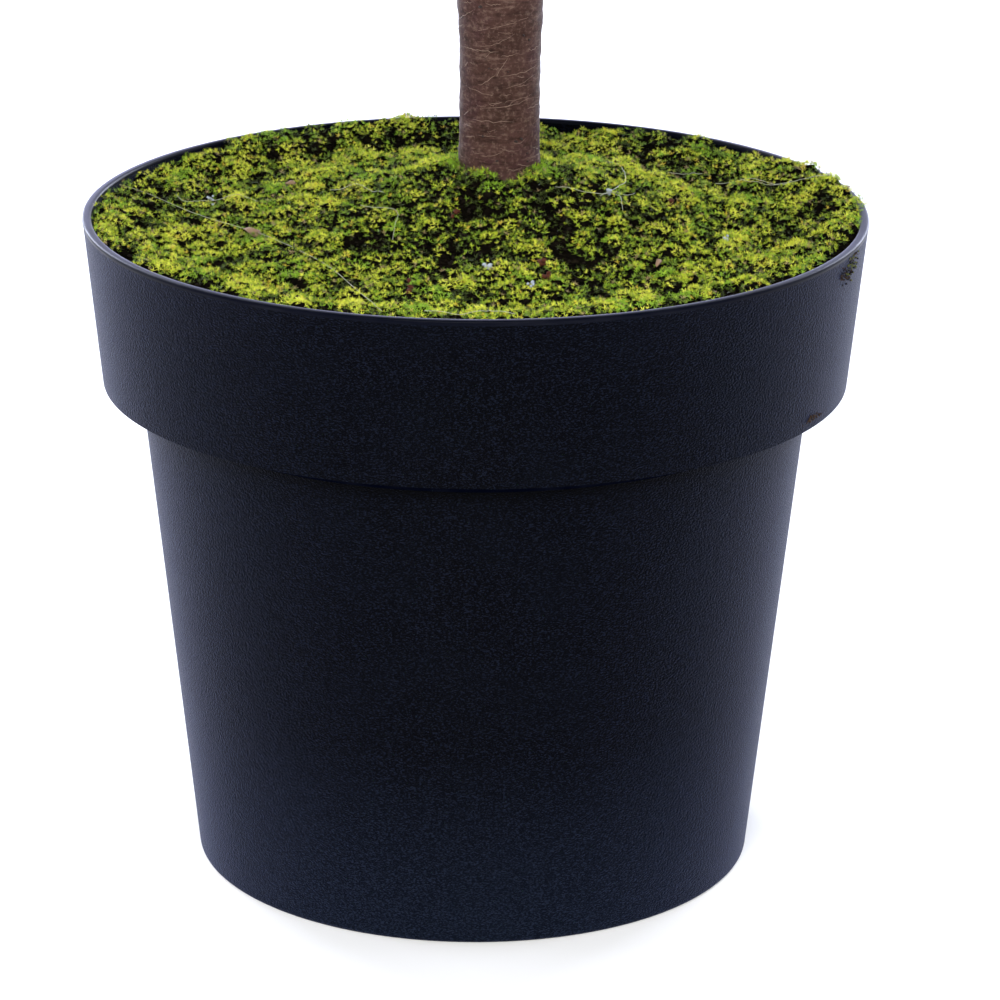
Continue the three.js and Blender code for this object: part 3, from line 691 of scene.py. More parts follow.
def make_pot():
    slope = (RIM_RADIUS - COLLAR_FOOT_RADIUS) / COLLAR_HEIGHT
    band_foot = POT_HEIGHT - LIP_BAND
    band_radius = RIM_RADIUS - slope * LIP_BAND
    foot_ring = POT_FOOT_RADIUS - FOOT_RING_WIDTH
    middle = 4 * MM
    # Radius, height and rounding, from the middle of the underside up the outside and down the inside.
    corners = [
        (middle, FOOT_RECESS, 0),
        (foot_ring - 1 * MM, FOOT_RECESS, 0.5 * MM),
        (foot_ring, 0, 0.5 * MM),
        (POT_FOOT_RADIUS, 0, 1.6 * MM),
        (between(POT_FOOT_RADIUS, BODY_TOP_RADIUS, 0.5), COLLAR_FOOT / 2, 0),
        # Where the ring of painted shade under the collar ends.
        (between(BODY_TOP_RADIUS, POT_FOOT_RADIUS, SHADE_BAND / COLLAR_FOOT), SHADE_FOOT, 0),
        (BODY_TOP_RADIUS, COLLAR_FOOT, 1.2 * MM),
        (COLLAR_FOOT_RADIUS, COLLAR_FOOT, 0),
        (between(COLLAR_FOOT_RADIUS, RIM_RADIUS, 0.5), COLLAR_FOOT + COLLAR_HEIGHT / 2, 0),
        (band_radius, band_foot, 0),
        (band_radius + LIP_BEAD, band_foot + 0.8 * MM, 0.3 * MM),
        (RIM_RADIUS, POT_HEIGHT, 1.9 * MM),
        (RIM_RADIUS - LIP_WIDTH, POT_HEIGHT, 1.4 * MM),
        (RIM_RADIUS - LIP_WIDTH, POT_HEIGHT - LIP_DEPTH, 0),
        (COLLAR_FOOT_RADIUS - POT_WALL, COLLAR_FOOT + POT_WALL, 1 * MM),
        (BODY_TOP_RADIUS - POT_WALL, COLLAR_FOOT + POT_WALL, 1 * MM),
        (POT_FOOT_RADIUS - POT_WALL, POT_FLOOR, 1 * MM),
        (middle, POT_FLOOR, 0),
    ]
    rings = [(radius, (0, 0, height)) for radius, height in rounded(corners)]
    pot = ring_tower("pot_shell", POT_SIDES, rings)

    deselect_all()
    drills = []
    for hole in range(DRAIN_HOLES):
        turn = hole / DRAIN_HOLES * FULL_TURN
        place = (DRAIN_RING_RADIUS * math.cos(turn), DRAIN_RING_RADIUS * math.sin(turn), POT_FLOOR / 2)
        depth = 4 * POT_FLOOR
        bpy.ops.mesh.primitive_cylinder_add(vertices=32, radius=DRAIN_RADIUS, depth=depth, location=place)
        drills.append(bpy.context.object)
    for drill in drills:
        apply_modifier(pot, "BOOLEAN", operation="DIFFERENCE", object=drill, solver="EXACT")
        bpy.data.objects.remove(drill)
    smooth(pot, 40)

    pot.data.materials.clear()
    pot.data.materials.append(pebbled_plastic())
    pot.data.materials.append(smooth_plastic("pot_lip_top", 0.06, 0.65))
    pot.data.materials.append(smooth_plastic("pot_lip_band", 0.035, 0.08))
    # A dark finish without specular or sheen, for the painted shade under the collar.
    pot.data.materials.append(smooth_plastic("pot_painted_shade_ring", 0.0, 0.0))
    lip_top, lip_band, painted_shade_faces = 1, 2, 3
    for face in pot.data.polygons:
        if face.center.z > band_foot:
            face.material_index = lip_top if face.normal.z > 0.4 else lip_band
        # The ring of faces just under the collar gets that dark finish: painted shade.
        elif SHADE_FOOT < face.center.z < COLLAR_FOOT + 0.1 * MM:
            face.material_index = painted_shade_faces
    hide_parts("pot")
    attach(pot, "root")


# Moss

def moss_top(points):
    """Height of the moss over each point: its level, its cushions and the mound at the stem."""
    x, y = points[:, 0], points[:, 1]
    mound = MOSS_MOUND_RISE * hump(from_spot(points, STEM_X, STEM_Y), MOSS_MOUND_SPREAD)
    cushions = (
        np.sin(x / MOSS_BUMP_PITCH + 1.3) * np.sin(y / MOSS_BUMP_PITCH + 0.4)
        + 0.6 * np.sin((x + y) / (0.6 * MOSS_BUMP_PITCH) + 2.1)
        + 0.9 * np.sin(x / (4 * MOSS_BUMP_PITCH) + 0.5)
    )
    return MOSS_LEVEL + mound + MOSS_BUMP * cushions


def from_stem_bark(points):
    return from_spot(points, STEM_X, STEM_Y) - STEM_FOOT_RADIUS


def moss_growth(points):
    """How well the moss grows at each point, from about -1, bare soil, to 1, full tufts."""
    flat = np.column_stack([points[:, :2], np.zeros(len(points))])
    growth = layered_noise(flat, GROWTH_PATCHES)
    for x, y, radius, loss in THIN_MOSS:
        growth -= loss * hump(from_spot(points, x * MM, y * MM), radius * MM)
    return growth + STEM_GROWTH * hump(from_stem_bark(points), STEM_MOSS_SPREAD)


def stem_moss(points):
    """How much higher the moss stands where it meets the stem, and how much lower in the notch."""
    near = hump(np.maximum(from_stem_bark(points), 0), STEM_MOSS_SPREAD)
    notch = hump(degrees_round(points, STEM_X, STEM_Y) - NOTCH_TURN, NOTCH_WIDTH)
    return near * (STEM_MOSS_RISE - NOTCH_DEPTH * notch)


def overhang(points):
    """How far the moss reaches out over the lip in the way of each point."""
    from_its_middle = np.abs(degrees_round(points) - OVERHANG_TURN)
    return OVERHANG * smooth_step(OVERHANG_SPREAD, 0.6 * OVERHANG_SPREAD, from_its_middle)


def stem_ring(draws):
    """Places for tufts close round the stem's foot."""
    turn = np.arange(STEM_RING_TUFTS) / STEM_RING_TUFTS * FULL_TURN
    radius = STEM_FOOT_RADIUS + draws.uniform(1.2, 2.6, len(turn)) * MM
    x, y = STEM_X + radius * np.cos(turn), STEM_Y + radius * np.sin(turn)
    return np.column_stack([x, y, np.zeros(len(turn))])


def moss_tufts():
    """Round tufts on a shaken grid inside the lip and outside the stem: places, radii and vigour."""
    draws = np.random.default_rng(41)
    span = np.arange(-RIM_RADIUS, RIM_RADIUS, TUFT_SPACING)
    x, y = (a.ravel() for a in np.meshgrid(span, span))
    places = np.column_stack([x, y, np.zeros_like(x)])
    places[:, :2] += draws.uniform(-0.5, 0.5, (len(places), 2)) * TUFT_SPACING
    places = np.concatenate([places, stem_ring(draws)])
    vigour = moss_growth(places) + draws.normal(0, VIGOUR_SCATTER, len(places))
    fullness = np.clip(1 + 0.7 * vigour, 0.55, 1.6)
    radii = TUFT_RADIUS * fullness * draws.uniform(*MOSS_UNEVENNESS, len(places))
    inside = from_spot(places) < MOSS_RADIUS - 0.6 * MM + overhang(places)
    kept = inside & (from_stem_bark(places) > 1 * MM) & (vigour > LEAST_VIGOUR)
    return places[kept], radii[kept], vigour[kept]


TUFTS = moss_tufts()


def tuft_domes(points):
    """How high the tufts' domes stand over each point; 0 between them."""
    places, radii, _ = TUFTS
    height = np.zeros(len(points))
    at_once = 500
    for start in range(0, len(points), at_once):
        some = points[start:start + at_once]
        away = np.hypot(some[:, :1] - places[:, 0], some[:, 1:2] - places[:, 1]) / radii
        domes = TUFT_RISE * radii * np.sqrt(np.clip(1 - away ** 2, 0, 1))
        height[start:start + at_once] = domes.max(axis=1)
    return height


def moss_bed_height(points):
    """Height of the ground under the shoots: the mound in the middle, the climb to the lip, and the tufts."""
    angles, heights = np.array(MOSS_AT_RIM).T
    at_rim = np.interp(degrees_round(points), angles, heights, period=360) * MM
    at_rim = POT_HEIGHT - MOSS_BELOW_LIP + at_rim
    from_middle = from_spot(points)
    near_rim = smooth_step(CLIMB_START, CLIMB_END, from_middle)
    ground = moss_top(points) - SHOOT_HEIGHT + stem_moss(points)
    hang = OVERHANG_SLOPE * np.maximum(from_middle - MOSS_RADIUS, 0)
    return between(ground, at_rim, near_rim) + tuft_domes(points) - hang


def make_moss_bed():
    """The dark ground that the moss grows on, in rings that follow its cushions and mound."""
    deselect_all()
    bpy.ops.mesh.primitive_circle_add(vertices=BED_SIDES, radius=MOSS_RADIUS, fill_type="NGON")
    bed = bpy.context.object
    bed.name = "moss_bed"
    edit_all(bed)
    for _ in range(int(MOSS_RADIUS / BED_RING_WIDTH) - 2):
        bpy.ops.mesh.inset(thickness=BED_RING_WIDTH, use_even_offset=False)
    bpy.ops.mesh.poke()
    end_edit()
    places = corners_of(bed)
    places[:, 2] = moss_bed_height(places)
    places[:, 2] += BED_ROUGHNESS * noise_at(places, BED_ROUGH_PITCH, 4.4)
    move_corners(bed, places)
    edit_all(bed)
    bpy.ops.mesh.select_all(action="DESELECT")
    bpy.ops.mesh.select_mode(type="EDGE")
    bpy.ops.mesh.select_non_manifold()
    bpy.ops.mesh.extrude_region_move()
    bpy.ops.transform.resize(value=(1, 1, 0), center_override=(0, 0, MOSS_UNDERSIDE))
    bpy.ops.mesh.edge_face_add()
    bpy.ops.mesh.select_all(action="SELECT")
    bpy.ops.mesh.normals_make_consistent(inside=False)
    end_edit()
    smooth(bed, 60)
    bed.data.materials.append(compost())
    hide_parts("moss_mat")
    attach(bed, "root")


def folded_blade(half_width, widest, fold):
    """A pointed blade along +X, one unit long: four corners, folded along its rib."""
    deselect_all()
    bpy.ops.mesh.primitive_circle_add(vertices=4, radius=0.5, fill_type="NGON", location=(0.5, 0, 0))
    blade = bpy.context.object
    bpy.ops.object.transform_apply(location=True, rotation=False, scale=False)
    edit_all(blade)
    bpy.ops.transform.resize(value=(1, 2 * half_width, 1), center_override=(0, 0, 0))
    pick_corners(blade, lambda place: abs(place.y) < 0.01)
    bpy.ops.mesh.vert_connect()
    pick_corners(blade, lambda place: abs(place.y) > 0.01)
    bpy.ops.transform.translate(value=(widest - 0.5, 0, fold))
    end_edit()
    return pattern_from(blade)


def turn_about_z(corners, angle):
    c, s = math.cos(angle), math.sin(angle)
    return corners @ np.array([[c, s, 0], [-s, c, 0], [0, 0, 1]])


def tip_up(corners, angle):
    c, s = math.cos(angle), math.sin(angle)
    return corners @ np.array([[c, 0, s], [0, 1, 0], [-s, 0, c]])


def moss_star(leaf, draws):
    """One moss shoot, about one unit high: an open star of narrow leaves."""
    leaf_corners, leaf_triangles = leaf
    parts = []
    for height, count, rise, length in MOSS_WHORLS:
        start = draws.uniform(0, FULL_TURN)
        for index in range(count):
            one = leaf_corners * length * draws.uniform(*MOSS_UNEVENNESS)
            one = tip_up(one, rise + draws.uniform(-LEAF_RISE_SCATTER, LEAF_RISE_SCATTER))
            place = index + draws.uniform(-LEAF_TURN_SCATTER, LEAF_TURN_SCATTER)
            one = turn_about_z(one, start + place * FULL_TURN / count)
            parts.append((one + [0, 0, height], leaf_triangles))
    return join_parts(parts)


def moss_shoots(draws):
    """Every shoot's place, slant, size and vigour: each tuft's shoots lean out from its middle."""
    places, slants, vigours = [], [], []
    for place, radius, vigour in zip(*TUFTS):
        count = max(4, int(SHOOTS_ON_TUFT * (radius / TUFT_RADIUS) ** 2))
        index = np.arange(count)
        share = np.sqrt((index + 0.5) / count)
        turn = index * GOLDEN_TURN + draws.uniform(0, FULL_TURN)
        out = np.column_stack([np.cos(turn), np.sin(turn)]) * share[:, None]
        places.append(np.column_stack([place[:2] + out * radius, np.zeros(count)]))
        slants.append(out * TUFT_SLANT)
        # Outer shoots are less ripe and darker: partly the moss's own colour, partly painted shade between
        # the tufts.
        vigours.append(vigour - TUFT_EDGE_PAINTED_SHADE * share ** 2)
    places, slants, vigours = (np.concatenate(a) for a in (places, slants, vigours))
    places[:, :2] += draws.normal(0, 0.25 * MM, (len(places), 2))
    inside = from_spot(places) < MOSS_RADIUS + 0.6 * MM + overhang(places)
    gone = draws.uniform(size=len(places)) < MISSING_SHARE * np.hypot(*slants.T) / TUFT_SLANT
    kept = inside & (from_stem_bark(places) > 0.5 * MM) & ~gone
    places, slants, vigours = places[kept], slants[kept], vigours[kept]
    places[:, 2] = moss_bed_height(places) - draws.uniform(0, 0.9, len(places)) * MM
    sizes = MOSS_SHOOT_SIZE * draws.uniform(*MOSS_UNEVENNESS, len(places))
    sizes *= 1 + 0.4 * hump(from_stem_bark(places), 4 * MM)
    return places, slants, sizes, vigours


# Name, colour and the least ripeness that has it; the last three are dealt out in other ways.
MOSS_FINISHES = [
    ("moss_dark", (0.05, 0.072, 0.01), -9),
    ("moss_green", (0.19, 0.3, 0.022), -0.5),
    ("moss_lime", (0.42, 0.54, 0.034), -0.22),
    ("moss_citron", (0.62, 0.69, 0.048), 0.04),
    ("moss_yellow", (0.8, 0.82, 0.09), 0.28),
    ("moss_fresh", (0.3, 0.5, 0.03), 9),
    ("moss_gold", (0.74, 0.58, 0.06), 9),
    ("moss_straw", (0.4, 0.3, 0.14), 9),
]
LIME_MOSS, FRESH_MOSS, GOLD_MOSS, STRAW_MOSS = 2, 5, 6, 7
GOLD_SHARE, STRAW_SHARE = 0.04, 0.04
RIPENESS_SCATTER, FRESH_SCATTER, FRESH_FROM = 0.26, 0.15, 0.28


def moss_shades(places, vigours, draws):
    """Which finish each shoot has: riper and yellower on full tufts, fresher in patches and at the stem."""
    x, y, radius, loss = DULL_MOSS
    dull = loss * hump(from_spot(places, x * MM, y * MM), radius * MM)
    ripeness = 0.8 * vigours + 0.28 * noise_at(places, 9 * MM, 9.2)
    ripeness = ripeness + draws.normal(0, RIPENESS_SCATTER, len(places)) - dull
    shade = np.digitize(ripeness, [finish[-1] for finish in MOSS_FINISHES[1:FRESH_MOSS]])
    fresh = noise_at(places, 11 * MM, 6.4) + draws.normal(0, FRESH_SCATTER, len(places))
    fresh += 0.4 * hump(from_stem_bark(places), 9 * MM)
    ripe = shade >= LIME_MOSS
    shade[ripe & (fresh > FRESH_FROM)] = FRESH_MOSS
    dealt = draws.uniform(size=len(places))
    shade[ripe & (dealt > 1 - GOLD_SHARE)] = GOLD_MOSS
    shade[dealt < STRAW_SHARE] = STRAW_MOSS
    return shade


def moss_piece(name, shape, finish):
    piece = joined_mesh(name, *shape, [finish])
    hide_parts("moss_mat")
    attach(piece, "root")


def make_moss_shoots():
    draws = np.random.default_rng(23)
    leaf = folded_blade(half_width=0.085, widest=0.36, fold=0.05)
    stars = [moss_star(leaf, draws) for _ in range(MOSS_STARS)]
    places, slants, sizes, vigours = moss_shoots(draws)
    shade = moss_shades(places, vigours, draws)
    for index, (name, colour, _) in enumerate(MOSS_FINISHES):
        mine = np.flatnonzero(shade == index)
        parts = []
        for kind, star in enumerate(stars):
            some = mine[kind::len(stars)]
            parts.append(scattered(star, places[some], sizes[some], draws, 0.25, slants[some]))
        moss_piece(name, join_parts(parts), plain_finish(name, colour, 0.5, 0.3))


# Loose bits on the moss and the pot

# Crumbs of soil are dealt out over the whole moss, and kept where it grows worst.
SOIL_CRUMBS, CRUMB_GROWTH = 5200, -0.12
# Husks and lumps of perlite: x, y and size in mm.
HUSKS = [(-79, -16, 2.7), (-68, 44, 1.6), (63, -58, 1.6)]
PERLITE = [(4, -68, 1.5), (19, -90, 1), (47, 0, 1), (-96, 22, 0.8), (88, -30, 0.8)]
GRAINS_IN_PERLITE = 7
RED_BIT_PLACES = [(23, -67), (-7, -28), (24, -73), (-22, -89), (70, 12)]
CHIPS_IN_RED_BIT = 4
HUSK_LIFT, LITTER_LIFT, THREAD_LIFT = 2.8 * MM, 2.2 * MM, 1.9 * MM
# Spider threads over the moss, as (x, y) in mm along each.
THREAD_ROUTES = [
    [(-130, 39), (-118, 30), (-92, 0), (-72, -23), (-58, -47), (-50, -62), (-39, -91), (-31, -123)],
    [(-109, 31), (-101, 24), (-93, 28), (-79, 25)],
    [(-53, 31), (-42, 22), (-33, 4)],
    [(-41, -7), (-27, -19), (-28, -31), (-29, -40)],
    [(71, 70), (76, 68), (84, 70)],
    [(88, 52), (97, 57), (108, 46), (114, 36), (118, 39), (127, 30)],
    [(97, 52), (106, 47), (115, 38)],
    [(46, 84), (53, 74), (55, 33), (52, 13), (44, -9)],
    [(28, -6), (33, -7), (40, -6), (47, -4), (52, 3), (57, 9)],
    [(47, -1), (51, -5), (52, -12)],
    [(-17, -130), (-2, -130), (13, -134)],
]
THREAD_RADIUS = 0.11 * MM
THREAD_POINTS = 26
THREAD_SMOOTHING = 8
# Dirt on the collar: degrees right of the front and height in mm of its middle, and how many specks.
COLLAR_SPATTER, SPATTER_SPECKS = (68.8, 233), 120
COLLAR_DIRT, DIRT_SPECKS = (61, 182.5), 26
DRY_SPATTER_UNTIL, BROWN_SPATTER_UNTIL = 0.45, 0.75


def lump_pattern():
    """An uneven lump about one unit in radius."""
    deselect_all()
    bpy.ops.mesh.primitive_ico_sphere_add(subdivisions=1, radius=1)
    lump = bpy.context.object
    edit_all(lump)
    bpy.ops.transform.vertex_random(offset=0.4, uniform=0.6, seed=4)
    bpy.ops.transform.resize(value=(1.3, 0.9, 0.7), center_override=(0, 0, 0))
    end_edit()
    return pattern_from(lump)


def husk_pattern():
    """A seed husk about two units long: a ridged boat that narrows to a point."""
    corners, triangles = lump_pattern()
    corners[:, 0] *= 1.25
    corners[:, 1:] *= 0.8 - 0.38 * corners[:, :1]
    return corners, triangles


def clustered(places, spread, count, draws):
    """A few places close round each given one, as for a crumbling grain."""
    return np.repeat(places, count, axis=0) + draws.normal(0, spread, (len(places) * count, 3))


def on_moss(spots, above=0.0):
    """Places in metres on top of the moss, from (x, y) spots in millimetres."""
    flat = np.array(spots, dtype=float) * MM
    places = np.column_stack([flat, np.zeros(len(flat))])
    places[:, 2] = moss_bed_height(places) + above
    return places


def on_collar(turns, heights):
    """Places on the collar's outside, from degrees right of the front and heights in millimetres."""
    turns, heights = np.radians(turns), np.asarray(heights) * MM
    share = (heights - COLLAR_FOOT) / COLLAR_HEIGHT
    radius = between(COLLAR_FOOT_RADIUS, RIM_RADIUS, share)
    return np.column_stack([radius * np.sin(turns), -radius * np.cos(turns), heights])


def make_soil_crumbs(lump, draws):
    turn = draws.uniform(0, FULL_TURN, SOIL_CRUMBS)
    radius = (MOSS_RADIUS - 2 * MM) * np.sqrt(draws.uniform(size=len(turn)))
    ground = np.column_stack([radius * np.cos(turn), radius * np.sin(turn), np.zeros(len(turn))])
    ground = ground[(moss_growth(ground) < CRUMB_GROWTH) & (from_stem_bark(ground) > 1.5 * MM)]
    ground[:, 2] = moss_bed_height(ground) + 0.2 * MM
    sizes = draws.uniform(0.35, 1.1, len(ground)) * MM
    crumbs = scattered(lump, ground, sizes, draws)
    moss_piece("soil_crumbs", crumbs, plain_finish("soil_crumbs", (0.011, 0.0085, 0.006), 0.9, 0.05))


def make_collar_dirt(lump, draws):
    """Spatter of moss and soil on the collar's right, and a little dirt at its foot."""
    spatter = np.clip(draws.normal(0, 1, (SPATTER_SPECKS, 2)), -1.7, 1.7)
    turn, height = COLLAR_SPATTER
    specks = on_collar(turn + 2.2 * spatter[:, 0], height + 2.7 * spatter[:, 1])
    dealt = draws.uniform(size=len(specks)) + 0.2 * spatter[:, 0]
    dirt = draws.normal(0, 1, (DIRT_SPECKS, 2))
    turn, height = COLLAR_DIRT
    low_specks = on_collar(turn + 1.5 * dirt[:, 0], height + 1.2 * np.abs(dirt[:, 1]))
    brown = specks[(dealt > DRY_SPATTER_UNTIL) & (dealt < BROWN_SPATTER_UNTIL)]
    for name, places, colour in (
        ("brown_spatter", np.concatenate([brown, low_specks]), (0.034, 0.02, 0.012)),
        ("dry_spatter", specks[dealt <= DRY_SPATTER_UNTIL], (0.006, 0.005, 0.004)),
        ("moss_spatter", specks[dealt >= BROWN_SPATTER_UNTIL], (0.09, 0.1, 0.022)),
    ):
        sizes = draws.uniform(0.25, 0.65, len(places)) * MM
        moss_piece(name, scattered(lump, places, sizes, draws), plain_finish(name, colour, 0.8, 0.1))


def make_litter(lump, draws):
    """Husks, crumbling perlite and red bits of bark that lie on the moss."""
    spots = np.array(HUSKS)
    husks = scattered(husk_pattern(), on_moss(spots[:, :2], HUSK_LIFT), spots[:, 2] * MM, draws)
    moss_piece("husks", husks, plain_finish("husk_brown", (0.3, 0.185, 0.115), 0.7))
    spots = np.array(PERLITE)
    grains = clustered(on_moss(spots[:, :2], LITTER_LIFT), 0.55 * MM, GRAINS_IN_PERLITE, draws)
    sizes = np.repeat(spots[:, 2], GRAINS_IN_PERLITE) * draws.uniform(0.55, 0.95, len(grains)) * MM
    white = scattered(lump, grains, sizes, draws, 1.0)
    moss_piece("perlite", white, plain_finish("perlite", (0.42, 0.46, 0.53), 0.8, 0.1))
    chips = clustered(on_moss(RED_BIT_PLACES, LITTER_LIFT), 0.8 * MM, CHIPS_IN_RED_BIT, draws)
    red = scattered(lump, chips, draws.uniform(0.8, 1.5, len(chips)) * MM, draws, 0.8)
    moss_piece("bark_bits", red, plain_finish("bark_bits", (0.085, 0.026, 0.014), 0.8, 0.1))


def make_spider_threads(draws):
    """Threads that hang from tuft to tuft, smoothed so that they bridge the gaps."""
    threads = []
    for route in THREAD_ROUTES:
        line = soft_line(on_moss(route), THREAD_POINTS)
        heights = moss_bed_height(line) + THREAD_LIFT
        for _ in range(THREAD_SMOOTHING):
            heights[1:-1] = (heights[:-2] + 2 * heights[1:-1] + heights[2:]) / 4
        line[:, 2] = heights
        line[1:-1] += draws.normal(0, 0.07 * MM, (len(line) - 2, 3))
        threads.append(tube(line, np.full(len(line), THREAD_RADIUS), 3))
    silk = plain_finish("spider_threads", (0.5, 0.5, 0.42), 0.5)
    moss_piece("spider_threads", join_parts(threads), silk)


def make_loose_bits():
    draws = np.random.default_rng(29)
    lump = lump_pattern()
    make_soil_crumbs(lump, draws)
    make_collar_dirt(lump, draws)
    make_litter(lump, draws)
    make_spider_threads(draws)


# Stem

def tier_height(tier):
    return FIRST_TIER_HEIGHT + FIRST_TIER_SPACING * (1 - TIER_SHRINK ** tier) / (1 - TIER_SHRINK)


KNOTS = [tier_height(tier) for tier in range(TIERS)]


def stem_radius(height):
    share = min(max((height - GROUND) / (STEM_TOP - GROUND), 0), 1)
    taper = between(STEM_FOOT_RADIUS, STEM_TOP_RADIUS, share ** STEM_TAPER)
    flare = STEM_FLARE * math.exp(-(height - GROUND) / STEM_FLARE_HEIGHT)
    old_knot = OLD_KNOT_RISE * math.exp(-(((height - OLD_KNOT_HEIGHT) / OLD_KNOT_SPREAD) ** 2))
    knot = max(math.exp(-(((height - knot) / KNOT_SPREAD) ** 2)) for knot in KNOTS)
    return taper + flare + old_knot + KNOT_RISE * knot * taper / STEM_FOOT_RADIUS


def stem_axis(height):
    along = max(0, height - GROUND) / STEM_SWAY_LENGTH
    sway = STEM_SWAY * along * math.sin(along * FULL_TURN)
    return np.array([STEM_X + sway, STEM_Y - sway, height])


def bark_surface(turn, height):
    """Places on the bark, at angles round the stem and heights, with its papery relief."""
    radius = np.array([stem_radius(h) for h in height])
    way = np.column_stack([np.cos(turn), np.sin(turn), np.zeros(len(turn))])
    rolled = way * radius[:, None] + np.column_stack([np.zeros((len(turn), 2)), BARK_FLATNESS * height])
    relief = BARK_RELIEF + layered_noise(rolled, BARK_LAYERS)
    radius = radius + relief * MM * np.clip(radius / STEM_FOOT_RADIUS, 0.3, 1)
    return np.array([stem_axis(h) for h in height]) + way * radius[:, None]


def make_stem():
    """The stem in rings, closer together near the foot, with the bark's papery relief."""
    low = np.arange(GROUND, CLOSE_RINGS_TOP, CLOSE_RINGS)
    high = np.arange(CLOSE_RINGS_TOP, STEM_TOP, WIDE_RINGS)
    rings = [(stem_radius(h), tuple(stem_axis(h))) for h in [*low, *high, STEM_TOP]]
    stem = ring_tower("stem_bark", STEM_SIDES, rings)
    apply_modifier(stem, "SUBSURF", levels=2, render_levels=2)
    places = corners_of(stem)
    outward = places - np.array([stem_axis(z) for z in places[:, 2]])
    outside = from_spot(outward) > 0.8 * np.array([stem_radius(z) for z in places[:, 2]])
    turn = np.arctan2(outward[outside, 1], outward[outside, 0])
    places[outside] = bark_surface(turn, places[outside, 2])
    move_corners(stem, places)
    smooth(stem, 50)
    stem.data.materials.append(papery_bark())
    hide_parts("trunk")
    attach(stem, "root")


# Curled edges of the bark at the front of the foot: (degrees right of the front, height in mm) at both ends.
FRONT_BARK_LINES = [
    ((-48, 305), (56, 311.5)),
    ((-32, 300), (22, 305.5)),
    ((-6, 289.8), (12, 297)),
    ((0, 289.8), (66, 292.6)),
    ((-32, 286), (-7, 290.4)),
    ((-62, 285), (6, 282)),
    ((-26, 278.4), (48, 281.4)),
    ((-44, 273.4), (20, 273.4)),
    ((-34, 268), (-4, 268)),
    ((-26, 260.5), (8, 263.2)),
]


def bark_line_ends(draws):
    """Every curled edge as its turns and heights from and to: the front's own, then random ones."""
    lines = []
    for (turn_from, low), (turn_to, high) in FRONT_BARK_LINES:
        lines.append((math.radians(turn_from - 90), math.radians(turn_to - 90), low * MM, high * MM))
    for _ in range(BARK_LINES):
        start = draws.uniform(0, FULL_TURN)
        span = draws.uniform(0.12, 1.1)
        low = between(GROUND + 6 * MM, BARK_LINES_TOP, draws.uniform() ** 1.6)
        climb = draws.normal(0.8, 1.4) * MM if draws.uniform() < 0.85 else draws.uniform(4, 9) * MM
        lines.append((start, start + span, low, low + climb))
    for _ in range(FOOT_WRINKLES):
        start = draws.uniform(0, FULL_TURN)
        low = draws.uniform(GROUND + 12 * MM, FOOT_WRINKLES_TOP)
        lines.append((start, start + draws.uniform(0.1, 0.45), low, low + draws.normal(0, 0.9) * MM))
    return lines


def stem_piece(name, shape, finish):
    piece = joined_mesh(name, *shape, [finish])
    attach(piece, "root")


def make_bark_lines():
    """Thin curled edges of papery bark, which run round the stem and mostly climb a little, and flakes."""
    draws = np.random.default_rng(7)
    threads = []
    for turn_from, turn_to, low, high in bark_line_ends(draws):
        share = np.linspace(0, 1, 12)
        turn = between(turn_from, turn_to, share)
        height = between(low, high, share) - draws.uniform(-0.2, 0.9) * MM * np.sin(share * math.pi)
        height += draws.normal(0, 0.16 * MM, len(share))
        radii = BARK_LINE_RADIUS * draws.uniform(0.5, 1.2) * (0.15 + 0.85 * np.sin(share * math.pi) ** 0.6)
        threads.append(tube(bark_surface(turn, height), radii, 3))
    stem_piece("bark_edges", join_parts(threads), plain_finish("bark_edges", (0.25, 0.165, 0.125), 0.6))
    turn = draws.uniform(0, FULL_TURN, BARK_FLAKES)
    height = between(GROUND + 15 * MM, BARK_FLAKES_TOP, draws.uniform(size=BARK_FLAKES) ** 2)
    sizes = draws.uniform(0.4, 1.0, BARK_FLAKES) * MM
    flakes = scattered(lump_pattern(), bark_surface(turn, height), sizes, draws)
    stem_piece("bark_flakes", flakes, plain_finish("bark_flakes", (0.03, 0.017, 0.014), 0.7))


# Boughs

